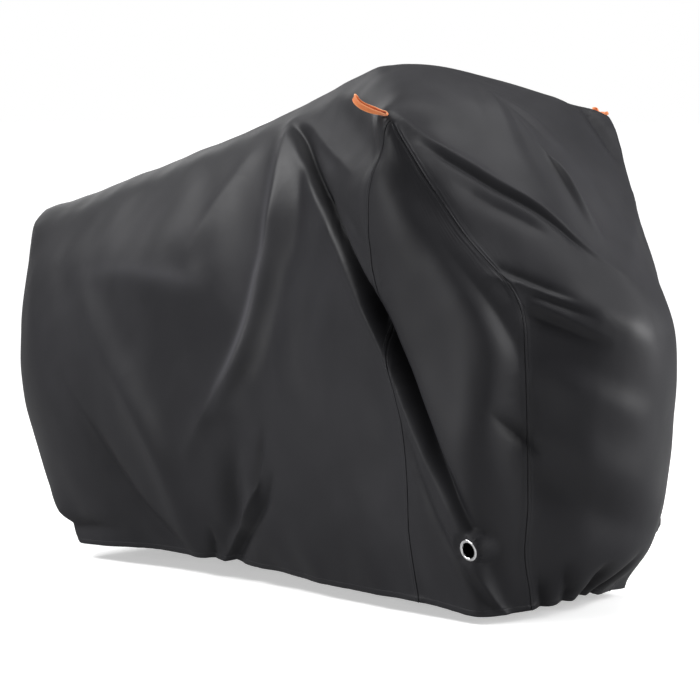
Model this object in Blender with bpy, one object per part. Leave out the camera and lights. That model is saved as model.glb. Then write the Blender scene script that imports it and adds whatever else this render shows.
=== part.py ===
"""Bicycle cover as it hangs over two bicycles: body, two side gussets, their eyelets and two hang loops.

Heights in the tables are above the ground, +X is the front wheel's end and +Y the rider's left.
The finished pieces are set down with the origin at the mount under the peak of the top.
"""
import math

import bpy
import numpy as np

# ---------------------------------------------------------------- sizes, in metres
SHEET = 0.002                       # thickness of the coated cloth
SEAM_GAP = 0.0004                   # gusset to body
MOUNT = (0.130, 0.0, 1.1575)        # what stands inside holds the cover up here
COLUMNS_REAR = 30                   # cloth columns from the rear centre to the rear seam
COLUMNS_GUSSET = 8
COLUMNS_FRONT = 11                  # from the front seam to the front centre
REAR_CROWDING = 1.5                 # 1 spaces the rear columns evenly, more draws them to the seam
HEM_ROWS = (0.0, 0.014, 0.036, 0.062)
LOWER_ROWS = 17                     # from the hem rows to the gusset's tip
UPPER_ROWS = 9                      # from the tip to the spine
FOLD_POINTS = 48                    # points that a fold's line is read at
TIP_GAP = 0.003                     # the gusset's tip stops short of the body's

EYELET_ROUND = 0.4110               # where the eyelet sits: share round and share up
EYELET_UP = 0.1115
EYELET_FACING = (-0.045, -0.960, -0.230)
EYELET_CUT = 0.0184                 # radius of the hole in the cloth
EYELET_RING = 0.0272                # cloth is flat within this radius
EYELET_FREE = 0.0430                # and free of the eyelet beyond this one
EYELET_STEPS = 32
# Half of the ring's section, from its channel over the flange to the hole: radius and height.
EYELET_PROFILE = ((.01800, .00130), (.02325, .00130), (.02350, .00180), (.02290, .00240),
                  (.02050, .00275), (.01820, .00245), (.01700, .00170), (.01675, .00070))

LOOP_WIDTH = 0.012
LOOP_THICK = 0.0016
LOOP_STEPS = 40
LOOP_AT = (0.3605, 0.698)           # share round and up of the corner it is sewn into
LOOP_OFF = 0.0058                   # its line starts this far off the cloth
LOOP_DIRECTION = {-1.0: (-0.86, -0.36, 0.215), 1.0: (-0.80, 0.50, -0.12)}
# Reach along the loop, rise off its line, gap between its legs, and twist in degrees.
LOOP_AXIS = ((.0010, .0000, .0030, 70.0), (.0140, .0000, .0055, 55.0), (.0300, .0005, .0095, 35.0),
             (.0480, .0020, .0130, 18.0), (.0640, .0060, .0140, 8.0), (.0750, .0120, .0110, 4.0),
             (.0795, .0180, .0050, 0.0))

CLOTH_COLOUR = (0.030, 0.030, 0.033, 1.0)
GUSSET_COLOUR = (0.026, 0.026, 0.029, 1.0)
METAL_COLOUR = (0.78, 0.78, 0.80, 1.0)
LOOP_COLOUR = (0.86, 0.31, 0.07, 1.0)

# ---------------------------------------------------------------- plain form
# One row per section of the cloth from the rear centre round one side to the front centre:
# x, half-breadth and height at the hem, low, belly, shoulder and brow, then x and height on the spine.
STATIONS = (
    ("rear_centre", -.800, .000, .036, -.908, .000, .130, -1.048, .000, .400,
     -1.088, .000, .680, -1.100, .000, .783, -1.088, .811),
    ("rear_round", -.800, .085, .036, -.902, .090, .132, -1.034, .085, .400,
     -1.076, .050, .680, -1.092, .032, .785, -1.076, .814),
    ("rear_corner", -.790, .168, .034, -.900, .172, .148, -.984, .172, .400,
     -1.040, .105, .680, -1.056, .063, .778, -1.038, .822),
    ("rear_quarter", -.700, .180, .036, -.745, .200, .110, -.885, .240, .420,
     -.940, .155, .710, -.950, .085, .800, -.955, .840),
    ("rear_side", -.530, .175, .044, -.545, .200, .105, -.650, .275, .440,
     -.735, .180, .760, -.760, .098, .856, -.775, .892),
    ("rear_wheel", -.385, .180, .043, -.390, .210, .105, -.440, .292, .440,
     -.520, .190, .815, -.555, .100, .915, -.580, .947),
    ("rear_frame", -.240, .188, .041, -.240, .222, .105, -.250, .298, .440,
     -.310, .185, .880, -.340, .092, .986, -.360, 1.013),
    ("saddle", -.090, .205, .038, -.070, .245, .105, -.020, .302, .440,
     -.130, .190, .918, -.175, .090, 1.036, -.215, 1.063),
    ("frame", .110, .238, .031, .120, .265, .105, .150, .308, .440,
     .110, .240, .935, .030, .110, 1.095, -.050, 1.124),
    ("behind_grip", .250, .260, .030, .250, .280, .105, .260, .314, .440,
     .270, .318, .960, .190, .180, 1.105, .045, 1.155),
    ("grip", .370, .270, .030, .365, .285, .105, .360, .314, .440,
     .372, .356, 1.045, .285, .185, 1.108, .130, 1.160),
    ("front_grip", .465, .278, .026, .462, .294, .105, .460, .322, .440,
     .462, .300, .940, .370, .155, 1.073, .205, 1.152),
    ("front_quarter", .560, .272, .017, .562, .290, .105, .560, .312, .430,
     .563, .256, .800, .455, .130, 1.003, .288, 1.127),
    ("front_corner", .614, .174, .024, .632, .185, .105, .652, .205, .420,
     .652, .205, .690, .548, .100, .918, .372, 1.086),
    ("front_round", .630, .085, .030, .700, .098, .115, .755, .128, .420,
     .758, .112, .620, .634, .050, .812, .455, 1.020),
    ("front_centre", .634, .000, .034, .722, .000, .118, .792, .000, .420,
     .795, .000, .610, .668, .000, .786, .512, .968),
)
LEVELS = 6

# The two seams of a gusset: share of the way up, and share of the way round from the rear centre.
TIP_UP = 0.690
REAR_SEAM = ((.000, .365), (.130, .366), (.226, .367), (.276, .366), (.320, .361), (.360, .357), (.406, .354),
             (.464, .348), (.531, .346), (.586, .350), (.645, .358), (TIP_UP, .3625), (1.0, .366))
FRONT_SEAM = ((.000, .446), (.092, .440), (.200, .441), (.301, .441), (.448, .439), (.490, .438),
              (.522, .435), (.549, .427), (.568, .415), (.585, .404), (.605, .3945), (.628, .3845),
              (.658, .3735), (TIP_UP, .3625), (1.0, .366))

# Where the cloth is drawn away from the plain form: centre, reach across and up, shift.
PULLS = (
    ("far front hem", (.59, .20, .02), .15, .06, (-.046, -.031, .003)),
    ("far grip", (.372, .356, 1.045), .090, .060, (.004, .008, .012)),
)

# ---------------------------------------------------------------- folds
# Each fold: name, reach towards its line's left and right in metres, crispness (2 soft, 1 sharp),
# then its line as (round, up, rise in metres), a negative rise being a trough.
FOLDS = (
    ("deep fold, crest", .007, .050, 1.4,
     ((.252, .905, .000), (.259, .872, .005), (.276, .768, .012), (.292, .669, .018), (.309, .578, .020),
      (.326, .497, .020), (.341, .427, .020), (.353, .368, .019), (.364, .319, .017), (.374, .275, .015),
      (.385, .231, .012), (.3960, .184, .009), (.4060, .134, .006), (.4140, .079, .004), (.4245, .000, .003))),
    ("deep fold, trough", .019, .011, 1.7,
     ((.256, .890, .000), (.2635, .858, -.012), (.2795, .760, -.026), (.295, .663, -.033), (.312, .573, -.035),
      (.330, .490, -.036), (.346, .424, -.036), (.3595, .372, -.035), (.3715, .328, -.033), (.382, .287, -.030),
      (.393, .242, -.025), (.4035, .198, -.018), (.4125, .158, -.009), (.4180, .128, -.004), (.4230, .095, .000))),
    ("deep fold, foot", .044, .013, 1.7,
     ((.4050, .190, .000), (.4130, .154, -.005), (.4198, .116, -.009), (.4240, .078, -.010), (.4278, .040, -.008),
      (.4315, .000, -.005))),
    ("deep fold, floor", .036, .020, 2.0,
     ((.290, .770, .000), (.306, .672, -.003), (.325, .580, -.004), (.341, .498, -.004), (.356, .428, -.003),
      (.367, .376, .000))),
    ("deep fold, far lip", .080, .014, 1.7,
     ((.276, .830, .000), (.300, .686, .007), (.324, .563, .007), (.345, .481, .008), (.360, .425, .008),
      (.372, .384, .008), (.382, .346, .007), (.392, .302, .006), (.402, .253, .006), (.412, .201, .005),
      (.421, .146, .004), (.430, .080, .003), (.438, .010, .000))),
    ("thin fold", .022, .016, 1.8,
     ((.288, .740, .000), (.300, .665, -.003), (.322, .583, -.004), (.337, .527, -.004), (.347, .482, -.003),
      (.356, .440, -.002), (.362, .405, .000))),
    ("light streak", .012, .014, 1.6,
     ((.262, .890, .000), (.272, .858, .004), (.284, .809, .006), (.297, .758, .007), (.311, .705, .005),
      (.324, .650, .000))),
    ("saddle crest", .022, .050, 1.6,
     ((.256, .915, .000), (.253, .857, .008), (.254, .790, .015), (.255, .728, .020), (.253, .673, .023),
      (.250, .623, .025), (.245, .576, .027), (.240, .529, .028), (.234, .481, .029), (.227, .432, .029),
      (.218, .380, .027), (.208, .327, .021), (.196, .274, .011), (.184, .220, .000))),
    ("saddle trough", .060, .020, 1.9,
     ((.268, .880, .000), (.265, .836, -.005), (.266, .776, -.009), (.266, .719, -.012), (.265, .667, -.014),
      (.261, .620, -.015), (.256, .576, -.015), (.251, .535, -.013), (.242, .470, -.010), (.232, .410, -.006),
      (.220, .350, .000))),
    ("rear bend", .050, .070, 2.0,
     ((.095, .720, .000), (.130, .700, .003), (.182, .680, .004), (.215, .675, .003), (.236, .690, .000))),
    ("rear hollow", .085, .085, 2.0,
     ((.100, .580, .000), (.140, .540, -.003), (.180, .510, -.005), (.208, .460, -.005), (.220, .380, .000))),
    ("rear swell", .055, .050, 2.0,
     ((.112, .640, .000), (.132, .520, .004), (.144, .430, .009), (.154, .351, .014), (.160, .295, .016),
      (.164, .241, .016), (.165, .185, .013), (.163, .110, .010), (.160, .000, .006))),
    ("rear crease", .040, .011, 1.3,
     ((.096, .470, .000), (.099, .420, -.004), (.105, .353, -.008), (.110, .289, -.010), (.114, .225, -.011),
      (.119, .164, -.012), (.126, .107, -.012), (.139, .058, -.011), (.156, .010, -.008))),
    ("lower hollow", .024, .045, 1.9,
     ((.222, .330, .000), (.226, .260, -.008), (.224, .208, -.014), (.221, .149, -.018), (.217, .091, -.018),
      (.206, .040, -.012), (.198, .000, -.008))),
    ("upper pocket", .020, .014, 1.6,
     ((.246, .310, .000), (.244, .249, -.008), (.243, .186, -.010), (.242, .140, .000))),
    ("gather crest", .012, .020, 1.4,
     ((.249, .260, .000), (.241, .180, .010), (.230, .124, .014), (.215, .068, .015), (.203, .028, .013),
      (.194, .000, .011))),
    ("gather trough", .022, .011, 1.4,
     ((.256, .220, .000), (.248, .160, -.008), (.237, .112, -.012), (.221, .056, -.013), (.208, .018, -.010),
      (.202, .000, -.008))),
    ("small gather", .011, .014, 1.3,
     ((.192, .085, .000), (.188, .042, -.008), (.182, .008, -.009), (.180, .000, -.009))),
    ("root crest", .045, .024, 1.6,
     ((.277, .962, .000), (.294, .899, .005), (.312, .839, .010), (.333, .776, .014), (.351, .722, .013),
      (.359, .704, .006))),
    ("grip hollow", .056, .050, 1.9,
     ((.288, .900, .000), (.299, .843, -.009), (.312, .779, -.016), (.329, .705, -.019), (.343, .652, -.017),
      (.355, .618, -.014), (.368, .598, -.014), (.382, .589, -.014), (.398, .592, -.011), (.414, .604, -.006),
      (.436, .628, .000))),
    ("below the hollow", .024, .060, 1.8,
     ((.326, .664, .000), (.341, .602, .002), (.358, .558, .004), (.376, .542, .004), (.392, .545, .000))),
    ("gusset crest", .032, .100, 1.7,
     ((.366, .556, .000), (.380, .541, .012), (.392, .526, .020), (.405, .504, .025), (.416, .468, .028),
      (.4225, .420, .029), (.4235, .360, .028), (.4225, .310, .025), (.424, .262, .020), (.428, .214, .014),
      (.433, .166, .009), (.437, .110, .000))),
    ("gusset shade", .030, .016, 1.6,
     ((.384, .560, .000), (.397, .541, -.006), (.411, .518, -.009), (.423, .490, -.010), (.433, .455, -.006),
      (.438, .420, .000))),
    ("pinched edge", .034, .010, 1.3,
     ((.352, .706, .000), (.360, .713, .008), (.372, .714, .012), (.385, .717, .013), (.399, .722, .012),
      (.415, .726, .011), (.431, .729, .010), (.447, .731, .009), (.461, .729, .008), (.475, .722, .007),
      (.488, .712, .005), (.505, .695, .000))),
    ("under the edge", .009, .012, 1.5,
     ((.374, .700, .000), (.388, .704, -.007), (.402, .709, -.009), (.418, .713, -.009), (.434, .716, -.009),
      (.450, .717, -.008), (.466, .714, -.007), (.482, .704, .000))),
    ("second shade", .010, .030, 1.6,
     ((.392, .672, .000), (.404, .678, -.006), (.416, .681, -.008), (.429, .683, -.008), (.442, .684, -.007),
      (.454, .683, .000))),
    ("wedge shade", .010, .013, 1.5,
     ((.410, .560, .000), (.423, .568, -.005), (.437, .573, -.007), (.451, .577, -.006), (.465, .581, .000))),
    ("wedge crest", .010, .012, 1.6,
     ((.412, .544, .000), (.424, .552, .005), (.437, .559, .007), (.451, .564, .006), (.468, .568, .000))),
    ("wedge fold", .010, .010, 1.4,
     ((.436, .546, .000), (.444, .550, -.005), (.452, .553, -.006), (.461, .556, -.005), (.472, .558, .000))),
    ("lower wedge crest", .014, .014, 1.6,
     ((.440, .536, .000), (.449, .535, .006), (.458, .532, .008), (.466, .529, .006), (.482, .523, .000))),
    ("lower wedge fold", .012, .022, 1.5,
     ((.434, .502, .000), (.440, .508, -.007), (.450, .512, -.009), (.461, .514, -.008), (.478, .512, .000))),
    ("seam pinch", .010, .018, 1.4,
     ((.422, .344, .000), (.430, .324, -.008), (.435, .312, -.011), (.441, .300, -.010), (.450, .282, .000))),
    ("lower band", .014, .014, 1.7,
     ((.366, .280, .000), (.374, .225, -.006), (.382, .180, -.007), (.390, .140, -.006), (.400, .098, -.006),
      (.411, .056, -.007), (.422, .014, -.007))),
    ("front crest, upper", .040, .050, 1.8,
     ((.452, .590, .000), (.462, .584, .006), (.474, .578, .009), (.488, .570, .008), (.505, .560, .000))),
    ("front hollow, upper", .045, .050, 1.8,
     ((.440, .500, .000), (.450, .482, -.007), (.468, .464, -.009), (.490, .452, -.006), (.510, .440, .000))),
    ("front crest, mid", .036, .050, 1.8,
     ((.438, .430, .000), (.448, .420, .009), (.464, .416, .011), (.484, .412, .007), (.505, .405, .000))),
    ("front crest, low", .045, .055, 1.8,
     ((.440, .335, .000), (.450, .318, .008), (.468, .305, .010), (.488, .290, .008), (.515, .270, .000))),
    ("front hollow, low", .045, .050, 1.8,
     ((.440, .270, .000), (.455, .235, -.010), (.475, .215, -.012), (.500, .200, -.008), (.520, .190, .000))),
    ("front tuck, a", .014, .020, 1.4,
     ((.486, .115, .000), (.489, .070, -.014), (.492, .033, -.018), (.493, .000, -.014))),
    ("front tuck, b", .014, .018, 1.4,
     ((.462, .110, .000), (.464, .071, -.008), (.472, .030, -.012), (.476, .000, -.010))),
    ("front tuck, c", .012, .016, 1.4,
     ((.447, .080, .000), (.450, .037, -.008), (.455, .000, -.009))),
    ("front tuck, d", .014, .020, 1.4,
     ((.512, .140, .000), (.510, .070, -.012), (.508, .030, -.016), (.507, .000, -.012))),
    ("eyelet pleat", .009, .010, 1.3,
     ((.414, .075, .000), (.419, .050, .005), (.424, .025, .006), (.430, .000, .005))),
    ("top wave, a", .045, .050, 2.0,
     ((.352, .900, .000), (.372, .860, -.006), (.388, .850, -.006), (.410, .890, .000))),
    ("top wave, b", .040, .045, 2.0,
     ((.362, .740, .000), (.378, .760, -.005), (.396, .800, -.006), (.430, .850, .000))),
    ("far grip dimple", .016, .030, 1.6,
     ((.645, .780, .000), (.636, .758, -.010), (.627, .735, -.014), (.620, .700, -.012), (.612, .670, .000))),
    ("far front crest", .030, .034, 1.7,
     ((.634, .680, .000), (.600, .640, .008), (.560, .665, .010), (.525, .690, .008), (.505, .700, .000))),
    ("far deep fold, trough", .026, .030, 1.7,
     ((.740, .860, .000), (.716, .720, -.016), (.692, .590, -.028), (.664, .450, -.036), (.646, .320, -.038),
      (.624, .180, -.030), (.606, .060, -.018), (.598, .000, -.012))),
    ("far deep fold, crest", .030, .055, 1.7,
     ((.746, .870, .000), (.724, .720, .012), (.702, .590, .022), (.676, .450, .026), (.658, .320, .024),
      (.636, .180, .018), (.616, .060, .012), (.606, .000, .010))),
    ("far saddle crest", .034, .080, 1.7,
     ((.738, .880, .000), (.748, .760, .018), (.756, .620, .026), (.772, .480, .026), (.792, .330, .016),
      (.806, .220, .000))),
    ("far saddle trough", .080, .040, 2.0,
     ((.728, .820, .000), (.734, .680, -.010), (.742, .530, -.016), (.760, .390, -.012), (.776, .280, .000))),
    ("far rear swell", .085, .060, 2.0,
     ((.915, .740, .000), (.885, .620, .010), (.862, .480, .016), (.846, .330, .018), (.838, .180, .014),
      (.840, .000, .006))),
    ("far rear crease", .040, .014, 1.4,
     ((.900, .420, .000), (.888, .320, -.007), (.880, .200, -.009), (.870, .100, -.010), (.858, .000, -.008))),
    ("far lower hollow", .065, .065, 2.0,
     ((.790, .300, .000), (.776, .200, -.018), (.782, .100, -.020), (.794, .000, -.014))),
    ("far gather", .018, .024, 1.4,
     ((.752, .230, .000), (.764, .140, .012), (.778, .060, .014), (.788, .000, .010))),
    ("far grip hollow", .060, .045, 1.9,
     ((.700, .830, .000), (.682, .780, -.014), (.666, .730, -.026), (.652, .685, -.030), (.644, .620, -.018),
      (.636, .540, .000))),
    ("back crest", .045, .050, 1.9,
     ((.985, .720, .000), (.990, .560, .010), (.975, .400, .014), (.962, .240, .012), (.955, .100, .000))),
    ("back hollow", .050, .050, 1.9,
     ((.018, .680, .000), (.022, .500, -.010), (.034, .340, -.014), (.040, .180, -.010), (.036, .100, .000))),
    ("back draw, near", .030, .016, 1.5,
     ((.000, .060, -.014), (.020, .058, -.014), (.042, .055, -.014), (.070, .052, -.012), (.100, .048, .000))),
    ("back draw, far", .030, .016, 1.5,
     ((.900, .048, .000), (.930, .052, -.012), (.958, .055, -.014), (.980, .058, -.014), (1.000, .060, -.014))),
    ("back tuck, a", .014, .014, 1.4,
     ((.015, .160, .000), (.017, .090, -.010), (.016, .050, -.010), (.015, .000, -.005))),
    ("back tuck, b", .014, .014, 1.4,
     ((.968, .150, .000), (.970, .085, -.009), (.969, .045, -.010), (.968, .000, -.005))),
)

# Folds whose lines the columns of each side are moved on to.
CREASES = (("deep fold, trough", "deep fold, crest", "saddle crest"),
           ("far deep fold, trough", "far deep fold, crest", "far saddle crest"))

# ---------------------------------------------------------------- curves through the tables
def cubic(a, b, slope_a, slope_b, span, share):
    """Point at a share of the way from a to b, leaving and arriving with the given slopes."""
    s2, s3 = share * share, share * share * share
    return ((2 * s3 - 3 * s2 + 1) * a + (s3 - 2 * s2 + share) * span * slope_a
            + (-2 * s3 + 3 * s2) * b + (s3 - s2) * span * slope_b)


def section_table():
    """Control points of the closed run of sections: (level, section, xyz) and where each one lies."""
    side = np.zeros((LEVELS, len(STATIONS), 3))
    for column, row in enumerate(STATIONS):
        values = row[1:]
        for level in range(LEVELS - 1):
            x, half, z = values[3 * level:3 * level + 3]
            side[level, column] = (x, -half, z)
        side[-1, column] = (values[-2], 0.0, values[-1])
    other = side[:, -2:0:-1] * np.array((1.0, -1.0, 1.0))
    points = np.concatenate([side, other], axis=1)
    chords = np.linalg.norm(np.roll(points, -1, axis=1) - points, axis=2)
    weight = np.array((1.0, 1.0, 1.5, 1.0, 0.4, 0.2))[:, None]
    steps = (chords * weight).sum(0) / weight.sum()
    return points, np.concatenate([[0.0], np.cumsum(steps)[:-1]]), steps.sum()


SECTIONS, SECTION_AT, GIRTH = section_table()
SPINE_X = np.array([row[-2] for row in STATIONS])
SPINE_Z = np.array([row[-1] for row in STATIONS])


def around(level, share):
    """Points of one level at shares of the way round."""
    knots = np.concatenate([[SECTION_AT[-1] - GIRTH], SECTION_AT, [GIRTH, GIRTH + SECTION_AT[1]]])
    points = np.concatenate([level[-1:], level, level[:2]])
    span = np.diff(knots)[:, None]
    chord = np.diff(points, axis=0) / span
    slope = (chord[1:] * span[:-1] + chord[:-1] * span[1:]) / (span[1:] + span[:-1])
    at = np.mod(share, 1.0) * GIRTH
    cell = np.clip(np.searchsorted(knots, at, side="right") - 1, 1, len(level))
    part = ((at - knots[cell]) / span[cell, 0])[:, None]
    return cubic(points[cell], points[cell + 1], slope[cell - 1], slope[cell], span[cell], part)


def plain_form(share_round, share_up):
    """Points of the cloth before its folds, for equal-length arrays of shares round and up."""
    control = np.stack([around(level, share_round) for level in SECTIONS], axis=1)
    span = np.maximum(np.linalg.norm(np.diff(control, axis=1), axis=2), 1e-4)
    knots = np.concatenate([np.zeros((len(control), 1)), np.cumsum(span, axis=1)], axis=1)
    chord = np.diff(control, axis=1) / span[..., None]
    slope = np.zeros_like(control)
    wide = span[..., None]
    slope[:, 1:-1] = (chord[:, 1:] * wide[:, :-1] + chord[:, :-1] * wide[:, 1:]) / (wide[:, 1:] + wide[:, :-1])
    unit = chord / np.linalg.norm(chord, axis=2, keepdims=True)
    bend = np.clip((unit[:, 1:] * unit[:, :-1]).sum(-1, keepdims=True), 0.0, 1.0)
    slope[:, 1:-1] *= 0.35 + 0.65 * bend
    slope[:, 0] = chord[:, 0]
    run = control[:, -1, 0]
    rise = (np.interp(run + .02, SPINE_X, SPINE_Z) - np.interp(run - .02, SPINE_X, SPINE_Z)) / .04
    last = chord[:, -1]
    slope[:, -1] = np.stack([last[:, 0], last[:, 1], rise * last[:, 0]], axis=1)
    slope[:, -1] /= np.maximum(np.linalg.norm(slope[:, -1], axis=1, keepdims=True), 1e-6)
    at = share_up * knots[:, -1]
    cell = np.clip((knots[:, 1:-1] <= at[:, None]).sum(axis=1), 0, LEVELS - 2)
    row = np.arange(len(control))
    length = span[row, cell]
    part = ((at - knots[row, cell]) / length)[:, None]
    points = cubic(control[row, cell], control[row, cell + 1], slope[row, cell], slope[row, cell + 1],
                   length[:, None], part)
    for _name, centre, reach, reach_up, shift in PULLS:
        off = (points - np.array(centre)) / (reach, reach, reach_up)
        near = np.exp(-(off ** 2).sum(-1))
        points = points + near[:, None] * np.array(shift)
    return points


def form_normals(share_round, share_up):
    """Outward directions of the plain form."""
    step = 0.004
    up_a, up_b = np.clip(share_up - step, 0.0, 1.0), np.clip(share_up + step, 0.0, 1.0)
    across = plain_form(share_round + step, share_up) - plain_form(share_round - step, share_up)
    along = plain_form(share_round, up_b) - plain_form(share_round, up_a)
    normal = np.cross(across, along)
    spine = share_up > 1.0 - 1e-6
    normal[spine, 1] = 0.0
    return normal / np.maximum(np.linalg.norm(normal, axis=1, keepdims=True), 1e-9)


# ---------------------------------------------------------------- folds laid over the plain form
def fold_line(path):
    """Even points along a fold's line on the plain form, with the rise at each."""
    rows = np.array(path)
    knots = np.concatenate([[0.0], np.cumsum(np.hypot(*(np.diff(rows[:, :2], axis=0) * (4.1, 1.2)).T))])
    slope = np.gradient(rows, knots, axis=0)
    at = np.linspace(0.0, knots[-1], FOLD_POINTS)
    cell = np.clip(np.searchsorted(knots, at, side="right") - 1, 0, len(knots) - 2)
    span = (knots[cell + 1] - knots[cell])[:, None]
    part = ((at - knots[cell]) / span[:, 0])[:, None]
    smooth = cubic(rows[cell], rows[cell + 1], slope[cell], slope[cell + 1], span, part)
    rise = np.interp(at, knots, rows[:, 2])
    up = np.clip(smooth[:, 1], 0.0, 1.0)
    return plain_form(smooth[:, 0], up), form_normals(smooth[:, 0], up), rise


def fold_heights(points):
    """How far each point of the plain form is lifted off it by the folds."""
    height = np.zeros(len(points))
    for _name, left, right, crisp, path in FOLDS:
        line, normal, rise = fold_line(path)
        ahead = np.diff(line, axis=0)
        length2 = np.maximum((ahead ** 2).sum(1), 1e-12)
        reach = 3.2 * max(left, right)
        low, high = line.min(0) - reach, line.max(0) + reach
        picked = np.flatnonzero(((points > low) & (points < high)).all(1))
        if not len(picked):
            continue
        offset = points[picked, None] - line[None, :-1]
        share = np.clip((offset * ahead).sum(-1) / length2, 0.0, 1.0)
        gap = offset - share[..., None] * ahead
        far2 = (gap ** 2).sum(-1)
        best = far2.argmin(1)
        row = np.arange(len(picked))
        share, gap = share[row, best], gap[row, best]
        away = np.sqrt(far2[row, best])
        side = (np.cross(normal[best], ahead[best]) * gap).sum(-1)
        width = np.where(side > 0.0, left, right)
        top = rise[best] * (1.0 - share) + rise[best + 1] * share
        height[picked] += top * np.exp(-(away / width) ** crisp)
    return height


# ---------------------------------------------------------------- the cloth as one net of cells
def row_shares():
    """Shares of the way up of the net's rows, and which row ends the gussets."""
    lower = np.linspace(HEM_ROWS[-1], TIP_UP, LOWER_ROWS + 1)
    upper = np.linspace(TIP_UP, 1.0, UPPER_ROWS + 1)
    rows = np.concatenate([HEM_ROWS[:-1], lower, upper[1:]])
    return rows, len(HEM_ROWS) - 1 + LOWER_ROWS


def along_table(table, at):
    """Smooth value of a two-column table."""
    keys, values = np.array(table).T
    slope = np.gradient(values, keys)
    cell = int(np.clip(np.searchsorted(keys, at, side="right") - 1, 0, len(keys) - 2))
    span = keys[cell + 1] - keys[cell]
    return cubic(values[cell], values[cell + 1], slope[cell], slope[cell + 1], span, (at - keys[cell]) / span)


def column_shares(up, side):
    """Shares of the way round of one side's columns at a height, from the rear centre to the front.

    The column nearest a main crease is moved on to it, so that the crease stays clean.
    """
    rear = along_table(REAR_SEAM, up)
    front = rear if up >= TIP_UP else along_table(FRONT_SEAM, up)
    steps = np.arange(COLUMNS_REAR + 1) / COLUMNS_REAR
    behind = rear * (1.0 - (1.0 - steps) ** REAR_CROWDING)
    between = np.linspace(rear, front, COLUMNS_GUSSET + 1)
    ahead = np.linspace(front, 0.5, COLUMNS_FRONT + 1)
    shares = np.concatenate([behind, between[1:], ahead[1:]])
    fixed = {0, COLUMNS_REAR, COLUMNS_REAR + COLUMNS_GUSSET, len(shares) - 1}
    for name in CREASES[side]:
        line = np.array(next(fold[-1] for fold in FOLDS if fold[0] == name))[::-1]
        if not line[0, 1] <= up <= line[-1, 1]:
            continue
        crossing = np.interp(up, line[:, 1], line[:, 0])
        crossing = crossing if side == 0 else 1.0 - crossing
        column = int(np.argmin(abs(shares - crossing)))
        if column in fixed:
            column += 1 if crossing > shares[column] else -1
        if column in fixed:
            continue
        shares[column] = np.clip(crossing, shares[column - 1] + .002, shares[column + 1] - .002)
        fixed.add(column)
    return shares


def cloth_net():
    """Shares round and up of every point, and the cells as (region, corner points)."""
    rows, tip = row_shares()
    seam_a, seam_b = COLUMNS_REAR, COLUMNS_REAR + COLUMNS_GUSSET
    last = seam_b + COLUMNS_FRONT
    ids, shares = {}, []
    columns = [[column_shares(up, side) for up in rows] for side in (0, 1)]

    def point(side, row, column):
        if row >= tip and seam_a < column <= seam_b:
            column = seam_a
        if column in (0, last) or row == len(rows) - 1:
            side = 0
        key = (side, row, column)
        if key not in ids:
            ids[key] = len(shares)
            share = columns[side][row][column]
            shares.append((share if side == 0 else 1.0 - share, rows[row]))
        return ids[key]

    cells = []
    for side, gusset in enumerate(("gusset_right", "gusset_left")):
        for row in range(len(rows) - 1):
            for column in range(last):
                corners = [point(side, row, column), point(side, row, column + 1),
                           point(side, row + 1, column + 1), point(side, row + 1, column)]
                corners = [c for n, c in enumerate(corners) if c != corners[n - 1]]
                if len(corners) < 3:
                    continue
                region = gusset if seam_a <= column < seam_b else "cover_body"
                cells.append((region, corners if side == 0 else corners[::-1]))
    seams = {gusset: ([[point(side, row, column) for row in range(tip)]
                       for column in (seam_a, seam_a + 1, seam_b, seam_b - 1)], point(side, tip, seam_a))
             for side, gusset in enumerate(("gusset_right", "gusset_left"))}
    return np.array(shares), cells, seams


def split_cells(shares, base, normals, cells):
    """Cut each four-sided cell along the diagonal that keeps nearer to the folded cloth."""
    quads = [corners for _region, corners in cells if len(corners) == 4]
    share = shares.copy()
    ring = np.array(quads)
    middle = share[ring].mean(1)
    seam = (share[ring][..., 0].max(1) - share[ring][..., 0].min(1)) > 0.5
    wrapped = np.where(share[ring][..., 0] > 0.5, share[ring][..., 0] - 1.0, share[ring][..., 0])
    middle[seam, 0] = wrapped[seam].mean(1)
    centre = plain_form(middle[:, 0], middle[:, 1])
    true_height = fold_heights(centre)
    out = normals[ring].mean(1)
    target = centre + out * true_height[:, None]
    points = base
    first = np.abs((((points[ring[:, 0]] + points[ring[:, 2]]) / 2.0 - target) * out).sum(-1))
    second = np.abs((((points[ring[:, 1]] + points[ring[:, 3]]) / 2.0 - target) * out).sum(-1))
    middle_line = (shares[:, 1] > 1.0 - 1e-9) | (shares[:, 0] < 1e-9) | (np.abs(shares[:, 0] - 0.5) < 1e-9)
    first += 9.0 * (middle_line[ring[:, 0]] & middle_line[ring[:, 2]])
    second += 9.0 * (middle_line[ring[:, 1]] & middle_line[ring[:, 3]])
    choice = iter(zip(quads, first <= second))
    split = []
    for region, corners in cells:
        if len(corners) == 3:
            split.append((region, corners))
            continue
        (a, b, c, d), along_first = next(choice)
        halves = ([a, b, c], [a, c, d]) if along_first else ([a, b, d], [b, c, d])
        split += [(region, half) for half in halves]
    return split


def eyelet_place(side):
    """Middle of an eyelet on the folded cloth and its three directions, out of the cloth last."""
    share = np.array([EYELET_ROUND if side < 0 else 1.0 - EYELET_ROUND])
    up = np.array([EYELET_UP])
    base = plain_form(share, up)
    middle = (base + form_normals(share, up) * fold_heights(base)[:, None])[0]
    out = np.array(EYELET_FACING) * (1.0, -side, 1.0)
    out /= np.linalg.norm(out)
    along = np.cross((0.0, 0.0, 1.0), out)
    along /= np.linalg.norm(along)
    return middle, along, np.cross(out, along), out


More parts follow.
